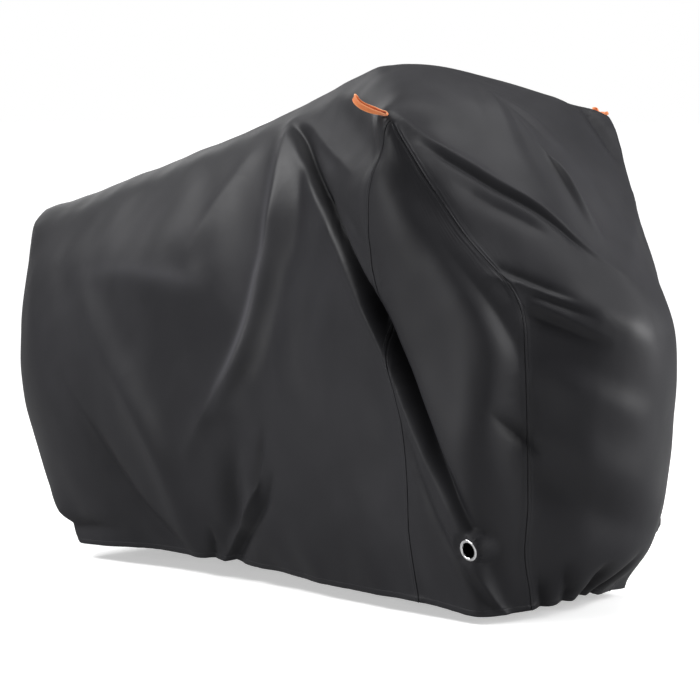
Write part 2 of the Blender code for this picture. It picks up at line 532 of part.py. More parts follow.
def fit_eyelet(points, cells, region, side):
    """Open a round hole with a flat edge in the cells of a gusset."""
    middle, along, rising, out = eyelet_place(side)
    away = points - middle
    flat = np.linalg.norm(away - (away @ out)[:, None] * out, axis=1)
    near = np.linalg.norm(away, axis=1) < 0.2
    ease = np.clip((EYELET_FREE - flat) / (EYELET_FREE - EYELET_RING), 0.0, 1.0) * near
    ease = ease * ease * (3.0 - 2.0 * ease)
    points = points - (ease * (away @ out))[:, None] * out
    dropped = {n for n in np.flatnonzero((flat < EYELET_RING * 1.15) & near)}
    kept, loose = [], []
    for cell in cells:
        (loose if dropped & set(cell[1]) else kept).append(cell)
    edges = {}
    for _region, corners in loose:
        for a, b in zip(corners, corners[1:] + corners[:1]):
            edges[a] = edges.get(a, set()) | {b}
    pairs = {(a, b) for a, ends in edges.items() for b in ends}
    border = {a: b for a, b in pairs if (b, a) not in pairs}
    loop = [next(iter(border))]
    while border[loop[-1]] != loop[0]:
        loop.append(border[loop[-1]])
    turn = np.arange(EYELET_STEPS) / EYELET_STEPS * 2.0 * math.pi
    rings = []
    for radius in (EYELET_RING, EYELET_CUT):
        rings.append(len(points) + np.arange(EYELET_STEPS))
        ring = middle + radius * (np.cos(turn)[:, None] * along + np.sin(turn)[:, None] * rising)
        points = np.concatenate([points, ring])
    angle = [math.atan2((points[n] - middle) @ rising, (points[n] - middle) @ along) for n in loop]
    start = int(np.argmin(np.mod(angle, 2.0 * math.pi)))
    loop = loop[start:] + loop[:start]
    angle = np.mod(np.array(angle[start:] + angle[:start]), 2.0 * math.pi)
    outer, inner = loop + [loop[0]], list(rings[0]) + [rings[0][0]]
    outer_at = np.append(angle, angle[0] + 2.0 * math.pi)
    inner_at = np.append(turn, 2.0 * math.pi)
    a = b = 0
    while a < len(loop) or b < EYELET_STEPS:
        if b == EYELET_STEPS or (a < len(loop) and outer_at[a + 1] <= inner_at[b + 1]):
            kept.append((region, [outer[a], outer[a + 1], inner[b]]))
            a += 1
        else:
            kept.append((region, [outer[a], inner[b + 1], inner[b]]))
            b += 1
    for n in range(EYELET_STEPS):
        m = (n + 1) % EYELET_STEPS
        kept.append((region, [rings[0][n], rings[0][m], rings[1][m], rings[1][n]]))
    return points, kept


def net_normals(points, cells):
    """Area-weighted outward direction at each point of the net."""
    total = np.zeros_like(points)
    for _region, corners in cells:
        ring = points[corners]
        normal = np.cross(ring, np.roll(ring, -1, axis=0)).sum(0)
        total[corners] += normal
    return total / np.maximum(np.linalg.norm(total, axis=1, keepdims=True), 1e-12)


# ---------------------------------------------------------------- solids
def add_object(name, points, faces, material, smooth=True):
    """Mesh object in the cover's collection, its points set down from the mount."""
    mesh = bpy.data.meshes.new(name)
    mesh.from_pydata([tuple(p) for p in np.asarray(points) - np.array(MOUNT)], [], faces)
    mesh.validate()
    mesh.update()
    mesh.shade_smooth() if smooth else mesh.shade_flat()
    mesh.materials.append(material)
    item = bpy.data.objects.new(name, mesh)
    bpy.data.collections["Bicycle cover"].objects.link(item)
    return item


def sheet_solid(name, outer, inner, cells, material):
    """Close two skins of the same cells with a rim."""
    used = sorted({c for corners in cells for c in corners})
    place = {c: n for n, c in enumerate(used)}
    count = len(used)
    faces, border = [], set()
    for corners in cells:
        skin = [place[c] for c in corners]
        faces.append(skin)
        faces.append([count + n for n in reversed(skin)])
        border |= set(zip(skin, skin[1:] + skin[:1]))
    level = outer[used][:, 2]
    for a, b in border:
        if (b, a) in border:
            continue
        if level[a] < level[b]:     # facing rims split the same way, so their gap stays even
            faces += [[b, a, count + b], [a, count + a, count + b]]
        else:
            faces += [[b, a, count + a], [b, count + a, count + b]]
    return add_object(name, np.concatenate([outer[used], inner[used]]), faces, material)


def cloth_pieces(materials):
    """Body and gussets as closed sheets, a seam's gap apart."""
    shares, cells, seams = cloth_net()
    base = plain_form(shares[:, 0], shares[:, 1])
    outward = net_normals(base, cells)
    points = base + outward * fold_heights(base)[:, None]
    cells = split_cells(shares, points, outward, cells)
    for region, side in (("gusset_right", -1.0), ("gusset_left", 1.0)):
        points, cells = fit_eyelet(points, cells, region, side)
    normals = net_normals(points, cells)
    for region in ("cover_body", "gusset_right", "gusset_left"):
        outer, inner = points.copy(), points - SHEET * normals
        if region in seams:
            (rear, beside_rear, front, beside_front), tip = seams[region]
            for skin in (outer, inner):
                whole = skin.copy()
                for edge, beside in ((rear, beside_rear), (front, beside_front)):
                    inward = whole[beside] - whole[edge]
                    skin[edge] += SEAM_GAP * inward / np.linalg.norm(inward, axis=1, keepdims=True)
                down = (whole[rear[-1]] + whole[front[-1]]) / 2.0 - whole[tip]
                skin[tip] += TIP_GAP * down / np.linalg.norm(down)
        sheet_solid(region, outer, inner, [c for r, c in cells if r == region], materials[region])


def eyelet(name, side, material):
    """Pressed ring with a channel that holds the cloth's edge."""
    middle, along, rising, out = eyelet_place(side)
    middle = middle - out * SHEET / 2.0
    profile = [(radius, sign * height) for sign, rows in ((1.0, EYELET_PROFILE), (-1.0, EYELET_PROFILE[::-1]))
               for radius, height in rows]
    points, faces = [], []
    count = len(profile)
    for step in range(EYELET_STEPS):
        turn = 2.0 * math.pi * step / EYELET_STEPS
        spoke = math.cos(turn) * along + math.sin(turn) * rising
        points += [middle + radius * spoke + height * out for radius, height in profile]
        here, after = step * count, (step + 1) % EYELET_STEPS * count
        faces += [[here + n, after + n, after + (n + 1) % count, here + (n + 1) % count]
                  for n in range(count)]
    return add_object(name, points, faces, material)


def loop_frames(side):
    """Middle, tangent and width direction at each step of a hang loop's tape."""
    table = np.array(LOOP_AXIS)
    share, up = np.array(LOOP_AT[:1]), np.array(LOOP_AT[1:])
    share = share if side < 0 else 1.0 - share
    base, normal = plain_form(share, up), form_normals(share, up)
    root = (base + normal * (fold_heights(base) + LOOP_OFF))[0]
    forward = np.array(LOOP_DIRECTION[side])
    forward /= np.linalg.norm(forward)
    level = np.cross(forward, (0.0, 0.0, 1.0)) * -side
    level /= np.linalg.norm(level)
    lift = np.cross(level, forward) * -side
    going, coming = [], []
    for reach, rise, gap, twist in table:
        turn = math.radians(twist)
        apart = math.cos(turn) * level + math.sin(turn) * lift
        wide = -math.sin(turn) * level + math.cos(turn) * lift
        middle = root + reach * forward + rise * lift
        going.append(np.concatenate([middle + apart * gap / 2.0, wide]))
        coming.append(np.concatenate([middle - apart * gap / 2.0, wide]))
    ring = np.array(going + coming[::-1])
    knots = np.concatenate([[0.0], np.cumsum(np.linalg.norm(np.diff(ring[:, :3], axis=0, append=ring[:1, :3]),
                                                             axis=1))])
    smooth = np.concatenate([ring, ring, ring])
    at = np.concatenate([knots[:-1] - knots[-1], knots[:-1], knots[:-1] + knots[-1]])
    slope = np.gradient(smooth, at, axis=0)
    where = np.arange(LOOP_STEPS) / LOOP_STEPS * knots[-1]
    cell = np.searchsorted(at, where, side="right") - 1
    span = (at[cell + 1] - at[cell])[:, None]
    frames = cubic(smooth[cell], smooth[cell + 1], slope[cell], slope[cell + 1], span,
                   (where - at[cell])[:, None] / span)
    middles = frames[:, :3]
    tangents = np.roll(middles, -1, axis=0) - np.roll(middles, 1, axis=0)
    return middles, tangents, frames[:, 3:]


def hang_loop(name, side, material):
    """Closed ring of webbing, its two legs sewn together at the root."""
    middles, tangents, wides = loop_frames(side)
    points, faces = [], []
    for step, (middle, tangent, wide) in enumerate(zip(middles, tangents, wides)):
        tangent = tangent / np.linalg.norm(tangent)
        wide = wide - (wide @ tangent) * tangent
        wide /= np.linalg.norm(wide)
        thick = np.cross(tangent, wide)
        points += [middle + a * LOOP_WIDTH / 2.0 * wide + b * LOOP_THICK / 2.0 * thick
                   for a, b in ((1, 1), (-1, 1), (-1, -1), (1, -1))]
        here, after = 4 * step, 4 * ((step + 1) % LOOP_STEPS)
        faces += [[here + n, here + (n + 1) % 4, after + (n + 1) % 4, after + n] for n in range(4)]
    return add_object(name, points, faces, material)


# ---------------------------------------------------------------- the whole cover
def make_material(name, colour, roughness, metallic=0.0):
    """Principled material."""
    material = bpy.data.materials.new(name)
    material.use_nodes = True
    shader = material.node_tree.nodes["Principled BSDF"]
    shader.inputs["Base Color"].default_value = colour
    shader.inputs["Roughness"].default_value = roughness
    shader.inputs["Metallic"].default_value = metallic
    return material


def main():
    for item in list(bpy.data.objects):
        bpy.data.objects.remove(item, do_unlink=True)
    collection = bpy.data.collections.new("Bicycle cover")
    bpy.context.scene.collection.children.link(collection)
    cloth = make_material("Coated cloth", CLOTH_COLOUR, 0.46)
    gusset = make_material("Coated cloth, gusset", GUSSET_COLOUR, 0.46)
    metal = make_material("Bright metal", METAL_COLOUR, 0.18, 1.0)
    tape = make_material("Orange webbing", LOOP_COLOUR, 0.60)
    cloth_pieces({"cover_body": cloth, "gusset_right": gusset, "gusset_left": gusset})
    for name, side in (("right", -1.0), ("left", 1.0)):
        eyelet("eyelet_" + name, side, metal)
        hang_loop("loop_" + name, side, tape)


if __name__ == "__main__":
    main()
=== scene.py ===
"""Bicycle cover as it hangs over two bicycles, dressed for its studio view.

The cloth is laid out by two shares, one of the way round from the rear centre and one of the way up from the
hem to the spine. A plain form gives each pair of shares its place, a book of folds lifts the cloth off that
form, and each sewn piece is cut from the result as a closed sheet. Heights in the tables are above the ground;
+X is the front wheel's end and +Y the rider's left.
"""
import logging
import math
from dataclasses import dataclass, field
from enum import Enum
from typing import Dict, Iterator, List, Optional, Sequence, Tuple, Union
import bpy  # noqa: E402
import numpy as np  # noqa: E402
from bpy.types import ID, Material, Mesh, Node, NodeInputs, NodeSocket, NodeTree, Object  # noqa: E402
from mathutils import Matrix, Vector  # noqa: E402


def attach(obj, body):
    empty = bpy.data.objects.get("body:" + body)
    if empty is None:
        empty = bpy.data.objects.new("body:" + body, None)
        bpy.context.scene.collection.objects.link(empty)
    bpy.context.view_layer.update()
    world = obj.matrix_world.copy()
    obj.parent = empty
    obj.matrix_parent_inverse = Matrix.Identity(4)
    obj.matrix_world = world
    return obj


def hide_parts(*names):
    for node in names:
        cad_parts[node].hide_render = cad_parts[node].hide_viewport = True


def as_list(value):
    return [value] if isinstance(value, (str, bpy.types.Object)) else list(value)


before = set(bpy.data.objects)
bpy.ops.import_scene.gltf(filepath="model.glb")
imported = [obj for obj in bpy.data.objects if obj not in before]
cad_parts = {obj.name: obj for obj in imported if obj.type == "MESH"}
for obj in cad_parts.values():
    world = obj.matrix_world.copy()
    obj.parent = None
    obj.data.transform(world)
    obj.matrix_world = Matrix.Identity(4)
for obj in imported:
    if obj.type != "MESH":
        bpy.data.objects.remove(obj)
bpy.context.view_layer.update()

LOG = logging.getLogger("bicycle_cover")

Pair = Tuple[float, float]
Triple = Tuple[float, float, float]
Colour = Tuple[float, float, float, float]
Faces = List[List[int]]
Array = np.ndarray

MILLI = 1000


# ---------------------------------------------------------------- what the tables are made of
class Side(Enum):
    """The two sides of the cover."""

    RIGHT = -1.0
    LEFT = 1.0

    @property
    def word(self) -> str:
        """The side's name in piece names."""
        return self.name.lower()

    def share(self, near: Union[float, Array]) -> Union[float, Array]:
        """Shares of the way round, turned over for the left side."""
        return near if self is Side.RIGHT else 1.0 - near


@dataclass(frozen=True)
class Section:
    """Upright section of the cloth: hem, low, belly, shoulder and brow as (x, half-breadth, height)."""

    name: str
    hem: Triple
    low: Triple
    belly: Triple
    shoulder: Triple
    brow: Triple
    spine: Pair


@dataclass(frozen=True)
class Fold:
    """Fold along a line of (round, up, rise), with its reach to either side and its crispness, 2 soft to 1 sharp."""

    name: str
    left: float
    right: float
    crisp: float
    line: Tuple[Triple, ...]


def pleat(name: str, left: float, right: float, crisp: float, *rows: Triple) -> Fold:
    """Fold with its shares given in thousandths, and its reaches and rises in millimetres."""
    line = tuple((way / MILLI, up / MILLI, rise / MILLI) for way, up, rise in rows)
    return Fold(name, left / MILLI, right / MILLI, crisp, line)


@dataclass(frozen=True)
class Pull:
    """Place where the cloth is drawn away from the plain form."""

    name: str
    centre: Triple
    across: float
    up: float
    shift: Triple


SECTIONS: Tuple[Section, ...] = (
    Section("rear_centre", (-.8, 0.0, .036), (-.908, 0.0, .13), (-1.048, 0.0, .4),
            (-1.088, 0.0, .68), (-1.1, 0.0, .783), (-1.088, .811)),
    Section("rear_round", (-.8, .085, .036), (-.902, .09, .132), (-1.034, .085, .4),
            (-1.076, .05, .68), (-1.092, .032, .785), (-1.076, .814)),
    Section("rear_corner", (-.79, .168, .034), (-.9, .172, .148), (-.984, .172, .4),
            (-1.04, .105, .68), (-1.056, .063, .778), (-1.038, .822)),
    Section("rear_quarter", (-.7, .18, .036), (-.745, .2, .11), (-.885, .24, .42),
            (-.94, .155, .71), (-.95, .085, .8), (-.955, .84)),
    Section("rear_side", (-.53, .175, .044), (-.545, .2, .105), (-.65, .275, .44),
            (-.735, .18, .76), (-.76, .098, .856), (-.775, .892)),
    Section("rear_wheel", (-.385, .18, .043), (-.39, .21, .105), (-.44, .292, .44),
            (-.52, .19, .815), (-.555, .1, .915), (-.58, .947)),
    Section("rear_frame", (-.24, .188, .041), (-.24, .222, .105), (-.25, .298, .44),
            (-.31, .185, .88), (-.34, .092, .986), (-.36, 1.013)),
    Section("saddle", (-.09, .205, .038), (-.07, .245, .105), (-.02, .302, .44),
            (-.13, .19, .918), (-.175, .09, 1.036), (-.215, 1.063)),
    Section("frame", (.11, .238, .031), (.12, .265, .105), (.15, .308, .44),
            (.11, .24, .935), (.03, .11, 1.095), (-.05, 1.124)),
    Section("behind_grip", (.25, .26, .03), (.25, .28, .105), (.26, .314, .44),
            (.27, .318, .96), (.19, .18, 1.105), (.045, 1.155)),
    Section("grip", (.37, .27, .03), (.365, .285, .105), (.36, .314, .44),
            (.372, .356, 1.045), (.285, .185, 1.108), (.13, 1.16)),
    Section("front_grip", (.465, .278, .026), (.462, .294, .105), (.46, .322, .44),
            (.462, .3, .94), (.37, .155, 1.073), (.205, 1.152)),
    Section("front_quarter", (.56, .272, .017), (.562, .29, .105), (.56, .312, .43),
            (.563, .256, .8), (.455, .13, 1.003), (.288, 1.127)),
    Section("front_corner", (.614, .174, .024), (.632, .185, .105), (.652, .205, .42),
            (.652, .205, .69), (.548, .1, .918), (.372, 1.086)),
    Section("front_round", (.63, .085, .03), (.7, .098, .115), (.755, .128, .42),
            (.758, .112, .62), (.634, .05, .812), (.455, 1.02)),
    Section("front_centre", (.634, 0.0, .034), (.722, 0.0, .118), (.792, 0.0, .42),
            (.795, 0.0, .61), (.668, 0.0, .786), (.512, .968)),
)

MAIN_FOLDS: Tuple[Fold, ...] = (
    pleat("deep fold, crest", 7, 50, 1.4, (252, 905, 0), (259, 872, 5), (276, 768, 12), (292, 669, 18), (309, 578, 20),
          (326, 497, 20), (341, 427, 20), (353, 368, 19), (364, 319, 17), (374, 275, 15), (385, 231, 12),
          (396, 184, 9), (406, 134, 6), (414, 79, 4), (424, 0, 3)),
    pleat("deep fold, trough", 19, 11, 1.7, (256, 890, 0), (264, 858, -12), (280, 760, -26), (295, 663, -33),
          (312, 573, -35), (330, 490, -36), (346, 424, -36), (359, 372, -35), (371, 328, -33), (382, 287, -30),
          (393, 242, -25), (404, 198, -18), (412, 158, -9), (418, 128, -4), (423, 95, 0)),
    pleat("deep fold, foot", 44, 13, 1.7, (405, 190, 0), (413, 154, -5), (420, 116, -9), (424, 78, -10), (428, 40, -8),
          (431, 0, -5)),
    pleat("deep fold, floor", 36, 20, 2.0, (290, 770, 0), (306, 672, -3), (325, 580, -4), (341, 498, -4),
          (356, 428, -3), (367, 376, 0)),
    pleat("deep fold, far lip", 80, 14, 1.7, (276, 830, 0), (300, 686, 7), (324, 563, 7), (345, 481, 8), (360, 425, 8),
          (372, 384, 8), (382, 346, 7), (392, 302, 6), (402, 253, 6), (412, 201, 5), (421, 146, 4), (430, 80, 3),
          (438, 10, 0)),
    pleat("thin fold", 22, 16, 1.8, (288, 740, 0), (300, 665, -3), (322, 583, -4), (337, 527, -4), (347, 482, -3),
          (356, 440, -2), (362, 405, 0)),
    pleat("light streak", 12, 14, 1.6, (262, 890, 0), (272, 858, 4), (284, 809, 6), (297, 758, 7), (311, 705, 5),
          (324, 650, 0)),
    pleat("rear bend", 50, 70, 2.0, (95, 720, 0), (130, 700, 3), (182, 680, 4), (215, 675, 3), (236, 690, 0)),
    pleat("rear hollow", 85, 85, 2.0, (100, 580, 0), (140, 540, -3), (180, 510, -5), (208, 460, -5), (220, 380, 0)),
    pleat("rear swell", 55, 50, 2.0, (112, 640, 0), (132, 520, 4), (144, 430, 9), (154, 351, 14), (160, 295, 16),
          (164, 241, 16), (165, 185, 13), (163, 110, 10), (160, 0, 6)),
    pleat("rear crease", 40, 11, 1.3, (96, 470, 0), (99, 420, -4), (105, 353, -8), (110, 289, -10), (114, 225, -11),
          (119, 164, -12), (126, 107, -12), (139, 58, -11), (156, 10, -8)),
    pleat("lower hollow", 24, 45, 1.9, (222, 330, 0), (226, 260, -8), (224, 208, -14), (221, 149, -18), (217, 91, -18),
          (206, 40, -12), (198, 0, -8)),
    pleat("upper pocket", 20, 14, 1.6, (246, 310, 0), (244, 249, -8), (243, 186, -10), (242, 140, 0)),
    pleat("gather crest", 12, 20, 1.4, (249, 260, 0), (241, 180, 10), (230, 124, 14), (215, 68, 15), (203, 28, 13),
          (194, 0, 11)),
    pleat("gather trough", 22, 11, 1.4, (256, 220, 0), (248, 160, -8), (237, 112, -12), (221, 56, -13), (208, 18, -10),
          (202, 0, -8)),
    pleat("small gather", 11, 14, 1.3, (192, 85, 0), (188, 42, -8), (182, 8, -9), (180, 0, -9)),
    pleat("root crest", 45, 24, 1.6, (277, 962, 0), (294, 899, 5), (312, 839, 10), (333, 776, 14), (351, 722, 13),
          (359, 704, 6)),
    pleat("grip hollow", 56, 50, 1.9, (288, 900, 0), (299, 843, -9), (312, 779, -16), (329, 705, -19), (343, 652, -17),
          (355, 618, -14), (368, 598, -14), (382, 589, -14), (398, 592, -11), (414, 604, -6), (436, 628, 0)),
    pleat("below the hollow", 24, 60, 1.8, (326, 664, 0), (341, 602, 2), (358, 558, 4), (376, 542, 4), (392, 545, 0)),
    pleat("gusset crest", 32, 100, 1.7, (366, 556, 0), (380, 541, 12), (392, 526, 20), (405, 504, 25), (416, 468, 28),
          (422, 420, 29), (423, 360, 28), (422, 310, 25), (424, 262, 20), (428, 214, 14), (433, 166, 9),
          (437, 110, 0)),
    pleat("gusset shade", 30, 16, 1.6, (384, 560, 0), (397, 541, -6), (411, 518, -9), (423, 490, -10), (433, 455, -6),
          (438, 420, 0)),
    pleat("pinched edge", 34, 10, 1.3, (352, 706, 0), (360, 713, 8), (372, 714, 12), (385, 717, 13), (399, 722, 12),
          (415, 726, 11), (431, 729, 10), (447, 731, 9), (461, 729, 8), (475, 722, 7), (488, 712, 5), (505, 695, 0)),
    pleat("under the edge", 9, 12, 1.5, (374, 700, 0), (388, 704, -7), (402, 709, -9), (418, 713, -9), (434, 716, -9),
          (450, 717, -8), (466, 714, -7), (482, 704, 0)),
    pleat("second shade", 10, 30, 1.6, (392, 672, 0), (404, 678, -6), (416, 681, -8), (429, 683, -8), (442, 684, -7),
          (454, 683, 0)),
    pleat("wedge shade", 10, 13, 1.5, (410, 560, 0), (423, 568, -5), (437, 573, -7), (451, 577, -6), (465, 581, 0)),
    pleat("wedge crest", 10, 12, 1.6, (412, 544, 0), (424, 552, 5), (437, 559, 7), (451, 564, 6), (468, 568, 0)),
    pleat("wedge fold", 10, 10, 1.4, (436, 546, 0), (444, 550, -5), (452, 553, -6), (461, 556, -5), (472, 558, 0)),
    pleat("lower wedge crest", 14, 14, 1.6, (440, 536, 0), (449, 535, 6), (458, 532, 8), (466, 529, 6), (482, 523, 0)),
    pleat("lower wedge fold", 12, 22, 1.5, (434, 502, 0), (440, 508, -7), (450, 512, -9), (461, 514, -8),
          (478, 512, 0)),
    pleat("seam pinch", 10, 18, 1.4, (422, 344, 0), (430, 324, -8), (435, 312, -11), (441, 300, -10), (450, 282, 0)),
    pleat("lower band", 14, 14, 1.7, (366, 280, 0), (374, 225, -6), (382, 180, -7), (390, 140, -6), (400, 98, -6),
          (411, 56, -7), (422, 14, -7)),
    pleat("front crest, upper", 40, 50, 1.8, (452, 590, 0), (462, 584, 6), (474, 578, 9), (488, 570, 8),
          (505, 560, 0)),
    pleat("front hollow, upper", 45, 50, 1.8, (440, 500, 0), (450, 482, -7), (468, 464, -9), (490, 452, -6),
          (510, 440, 0)),
    pleat("front crest, mid", 36, 50, 1.8, (438, 430, 0), (448, 420, 9), (464, 416, 11), (484, 412, 7), (505, 405, 0)),
    pleat("front crest, low", 45, 55, 1.8, (440, 335, 0), (450, 318, 8), (468, 305, 10), (488, 290, 8), (515, 270, 0)),
    pleat("front hollow, low", 45, 50, 1.8, (440, 270, 0), (455, 235, -10), (475, 215, -12), (500, 200, -8),
          (520, 190, 0)),
    pleat("front tuck, a", 14, 20, 1.4, (486, 115, 0), (489, 70, -14), (492, 33, -18), (493, 0, -14)),
    pleat("front tuck, b", 14, 18, 1.4, (462, 110, 0), (464, 71, -8), (472, 30, -12), (476, 0, -10)),
    pleat("front tuck, c", 12, 16, 1.4, (447, 80, 0), (450, 37, -8), (455, 0, -9)),
    pleat("front tuck, d", 14, 20, 1.4, (512, 140, 0), (510, 70, -12), (508, 30, -16), (507, 0, -12)),
    pleat("eyelet pleat", 9, 10, 1.3, (414, 75, 0), (419, 50, 5), (424, 25, 6), (430, 0, 5)),
    pleat("top wave, a", 45, 50, 2.0, (352, 900, 0), (372, 860, -6), (388, 850, -6), (410, 890, 0)),
    pleat("top wave, b", 40, 45, 2.0, (362, 740, 0), (378, 760, -5), (396, 800, -6), (430, 850, 0)),
    pleat("far grip dimple", 16, 30, 1.6, (645, 780, 0), (636, 758, -10), (627, 735, -14), (620, 700, -12),
          (612, 670, 0)),
    pleat("far front crest", 30, 34, 1.7, (634, 680, 0), (600, 640, 8), (560, 665, 10), (525, 690, 8), (505, 700, 0)),
    pleat("far deep fold, trough", 26, 30, 1.7, (740, 860, 0), (716, 720, -16), (692, 590, -28), (664, 450, -36),
          (646, 320, -38), (624, 180, -30), (606, 60, -18), (598, 0, -12)),
    pleat("far deep fold, crest", 30, 55, 1.7, (746, 870, 0), (724, 720, 12), (702, 590, 22), (676, 450, 26),
          (658, 320, 24), (636, 180, 18), (616, 60, 12), (606, 0, 10)),
    pleat("far saddle crest", 34, 80, 1.7, (738, 880, 0), (748, 760, 18), (756, 620, 26), (772, 480, 26),
          (792, 330, 16), (806, 220, 0)),
    pleat("far saddle trough", 80, 40, 2.0, (728, 820, 0), (734, 680, -10), (742, 530, -16), (760, 390, -12),
          (776, 280, 0)),
    pleat("far rear swell", 85, 60, 2.0, (915, 740, 0), (885, 620, 10), (862, 480, 16), (846, 330, 18), (838, 180, 14),
          (840, 0, 6)),
    pleat("far rear crease", 40, 14, 1.4, (900, 420, 0), (888, 320, -7), (880, 200, -9), (870, 100, -10),
          (858, 0, -8)),
    pleat("far lower hollow", 65, 65, 2.0, (790, 300, 0), (776, 200, -18), (782, 100, -20), (794, 0, -14)),
    pleat("far gather", 18, 24, 1.4, (752, 230, 0), (764, 140, 12), (778, 60, 14), (788, 0, 10)),
    pleat("far grip hollow", 60, 45, 1.9, (700, 830, 0), (682, 780, -14), (666, 730, -26), (652, 685, -30),
          (644, 620, -18), (636, 540, 0)),
    pleat("back crest", 45, 50, 1.9, (985, 720, 0), (990, 560, 10), (975, 400, 14), (962, 240, 12), (955, 100, 0)),
    pleat("back hollow", 50, 50, 1.9, (18, 680, 0), (22, 500, -10), (34, 340, -14), (40, 180, -10), (36, 100, 0)),
    pleat("back draw, near", 30, 16, 1.5, (0, 60, -14), (20, 58, -14), (42, 55, -14), (70, 52, -12), (100, 48, 0)),
    pleat("back draw, far", 30, 16, 1.5, (900, 48, 0), (930, 52, -12), (958, 55, -14), (980, 58, -14),
          (1000, 60, -14)),
    pleat("back tuck, a", 14, 14, 1.4, (15, 160, 0), (17, 90, -10), (16, 50, -10), (15, 0, -5)),
    pleat("back tuck, b", 14, 14, 1.4, (968, 150, 0), (970, 85, -9), (969, 45, -10), (968, 0, -5)),
)

FINE_FOLDS: Tuple[Fold, ...] = (
    pleat("saddle crest", 36, 26, 1.5, (259, 915, 0), (257, 857, 7), (258, 790, 13), (258.5, 728, 17), (257, 673, 20),
          (254, 623, 21), (249, 576, 22), (244, 529, 22), (238, 481, 22), (231, 432, 22), (222, 380, 20),
          (211.5, 327, 14), (198.5, 274, 8), (186, 220, 0)),
    pleat("saddle trough", 42, 26, 1.8, (276, 880, 0), (273.5, 836, -4), (273.5, 776, -8), (273.5, 719, -10),
          (272.5, 667, -10), (269, 620, -10), (264, 576, -9), (259, 535, -8), (252, 470, -6), (243, 410, -4),
          (234, 350, 0)),
    pleat("rear bend, fine", 50, 60, 1.8, (105, 680, 0), (146, 653, 5), (169, 626, 6), (192, 600, 6), (206, 583, 4),
          (224, 566, 0)),
    pleat("rear pleat", 16, 45, 1.7, (232, 870, 0), (222.5, 815, 5), (216, 778, 6), (209, 741, 7), (203, 697, 6),
          (197, 652, 4), (191, 620, 0)),
    pleat("rear hollow, fine", 70, 70, 2.0, (110, 500, 0), (140, 470, -3), (170, 450, -4), (198, 420, -3),
          (215, 380, 0)),
    pleat("rear side ridge", 60, 50, 1.5, (90, 813, 0), (110, 681, 4), (124, 569, 6), (134, 473, 7), (149, 367, 7),
          (161, 252, 5), (169, 164, 0)),
)

# Painted highlight: lines along which the cloth's colour is painted paler, as a light band along the saddle crease and
# the bend from the rear wheel.
PAINTED_CREASE_HIGHLIGHTS: Tuple[Fold, ...] = (
    Fold("saddle crease", .017, .018, 1.8,
         ((.257, .910, .00), (.254, .807, .35), (.2525, .700, .60), (.2506, .608, .85), (.245, .555, 1.0),
          (.237, .487, 1.0), (.229, .430, .85), (.221, .370, .55), (.212, .310, .00))),
    Fold("bend from the rear wheel", .030, .012, 1.6,
         ((.105, .672, .00), (.146, .653, .40), (.169, .626, .45), (.192, .600, .40), (.215, .575, .00))),
)

PULLS: Tuple[Pull, ...] = (
    Pull("far front hem", (.59, .2, .02), .15, .06, (-.046, -.031, .003)),
    Pull("far grip", (.372, .356, 1.045), .09, .06, (.004, .008, .012)),
)

# Share of the way up, and share of the way round, of the two seams of a gusset. They meet at its tip.
TIP_UP: float = .690
REAR_SEAM: Tuple[Pair, ...] = (
    (0.0, .365), (.13, .366), (.226, .367), (.276, .366), (.32, .361), (.36, .357), (.406, .354), (.464, .348),
    (.531, .346), (.586, .35), (.645, .358), (TIP_UP, .3625), (1.0, .366))
FRONT_SEAM: Tuple[Pair, ...] = (
    (0.0, .446), (.092, .44), (.2, .441), (.301, .441), (.448, .439), (.49, .438), (.522, .435), (.549, .427),
    (.568, .415), (.585, .404), (.605, .3945), (.628, .3845), (.658, .3735), (TIP_UP, .3625), (1.0, .366))


# ---------------------------------------------------------------- the draped form
def cubic(a: Array, b: Array, slope_a: Array, slope_b: Array, span: Array, share: Array) -> Array:
    """Value at a share of the way from one knot to the next.

    Args:
        a: Value at the first knot.
        b: Value at the second knot.
        slope_a: Slope on leaving the first knot.
        slope_b: Slope on reaching the second knot.
        span: Distance between the knots.
        share: Share of the way between them.

    Returns:
        The values at the shares.
    """
    s2, s3 = share * share, share * share * share
    return ((2 * s3 - 3 * s2 + 1) * a + (s3 - 2 * s2 + share) * span * slope_a
            + (-2 * s3 + 3 * s2) * b + (s3 - s2) * span * slope_b)


def knot_slopes(chord: Array, span: Array) -> Array:
    """Slopes at the inner knots of a curve, from the slopes and lengths of its chords."""
    return (chord[1:] * span[:-1] + chord[:-1] * span[1:]) / (span[1:] + span[:-1])


def smooth_at(knots: Array, rows: Array, at: Array) -> Array:
    """Values of a smooth curve through rows.

    Args:
        knots: Where each row lies.
        rows: The rows.
        at: Where to read the curve.

    Returns:
        One row for each reading.
    """
    slope = np.gradient(rows, knots, axis=0)
    cell = np.clip(np.searchsorted(knots, at, side="right") - 1, 0, len(knots) - 2)
    span = (knots[cell + 1] - knots[cell])[..., None]
    share = (at - knots[cell])[..., None] / span
    return cubic(rows[cell], rows[cell + 1], slope[cell], slope[cell + 1], span, share)


def along_table(table: Sequence[Pair], at: Array) -> Array:
    """Smooth values of a table of keys and values, read at some keys."""
    keys, values = np.array(table).T
    return smooth_at(keys, values[:, None], at)[..., 0]


def unit(direction: Sequence[float]) -> Array:
    """A direction brought to a length of one."""
    return np.asarray(direction) / np.linalg.norm(direction)


def run_along(line: Array) -> Array:
    """Distance of each point of a line from its start."""
    return np.concatenate([[0.0], np.cumsum(np.linalg.norm(np.diff(line, axis=0), axis=1))])


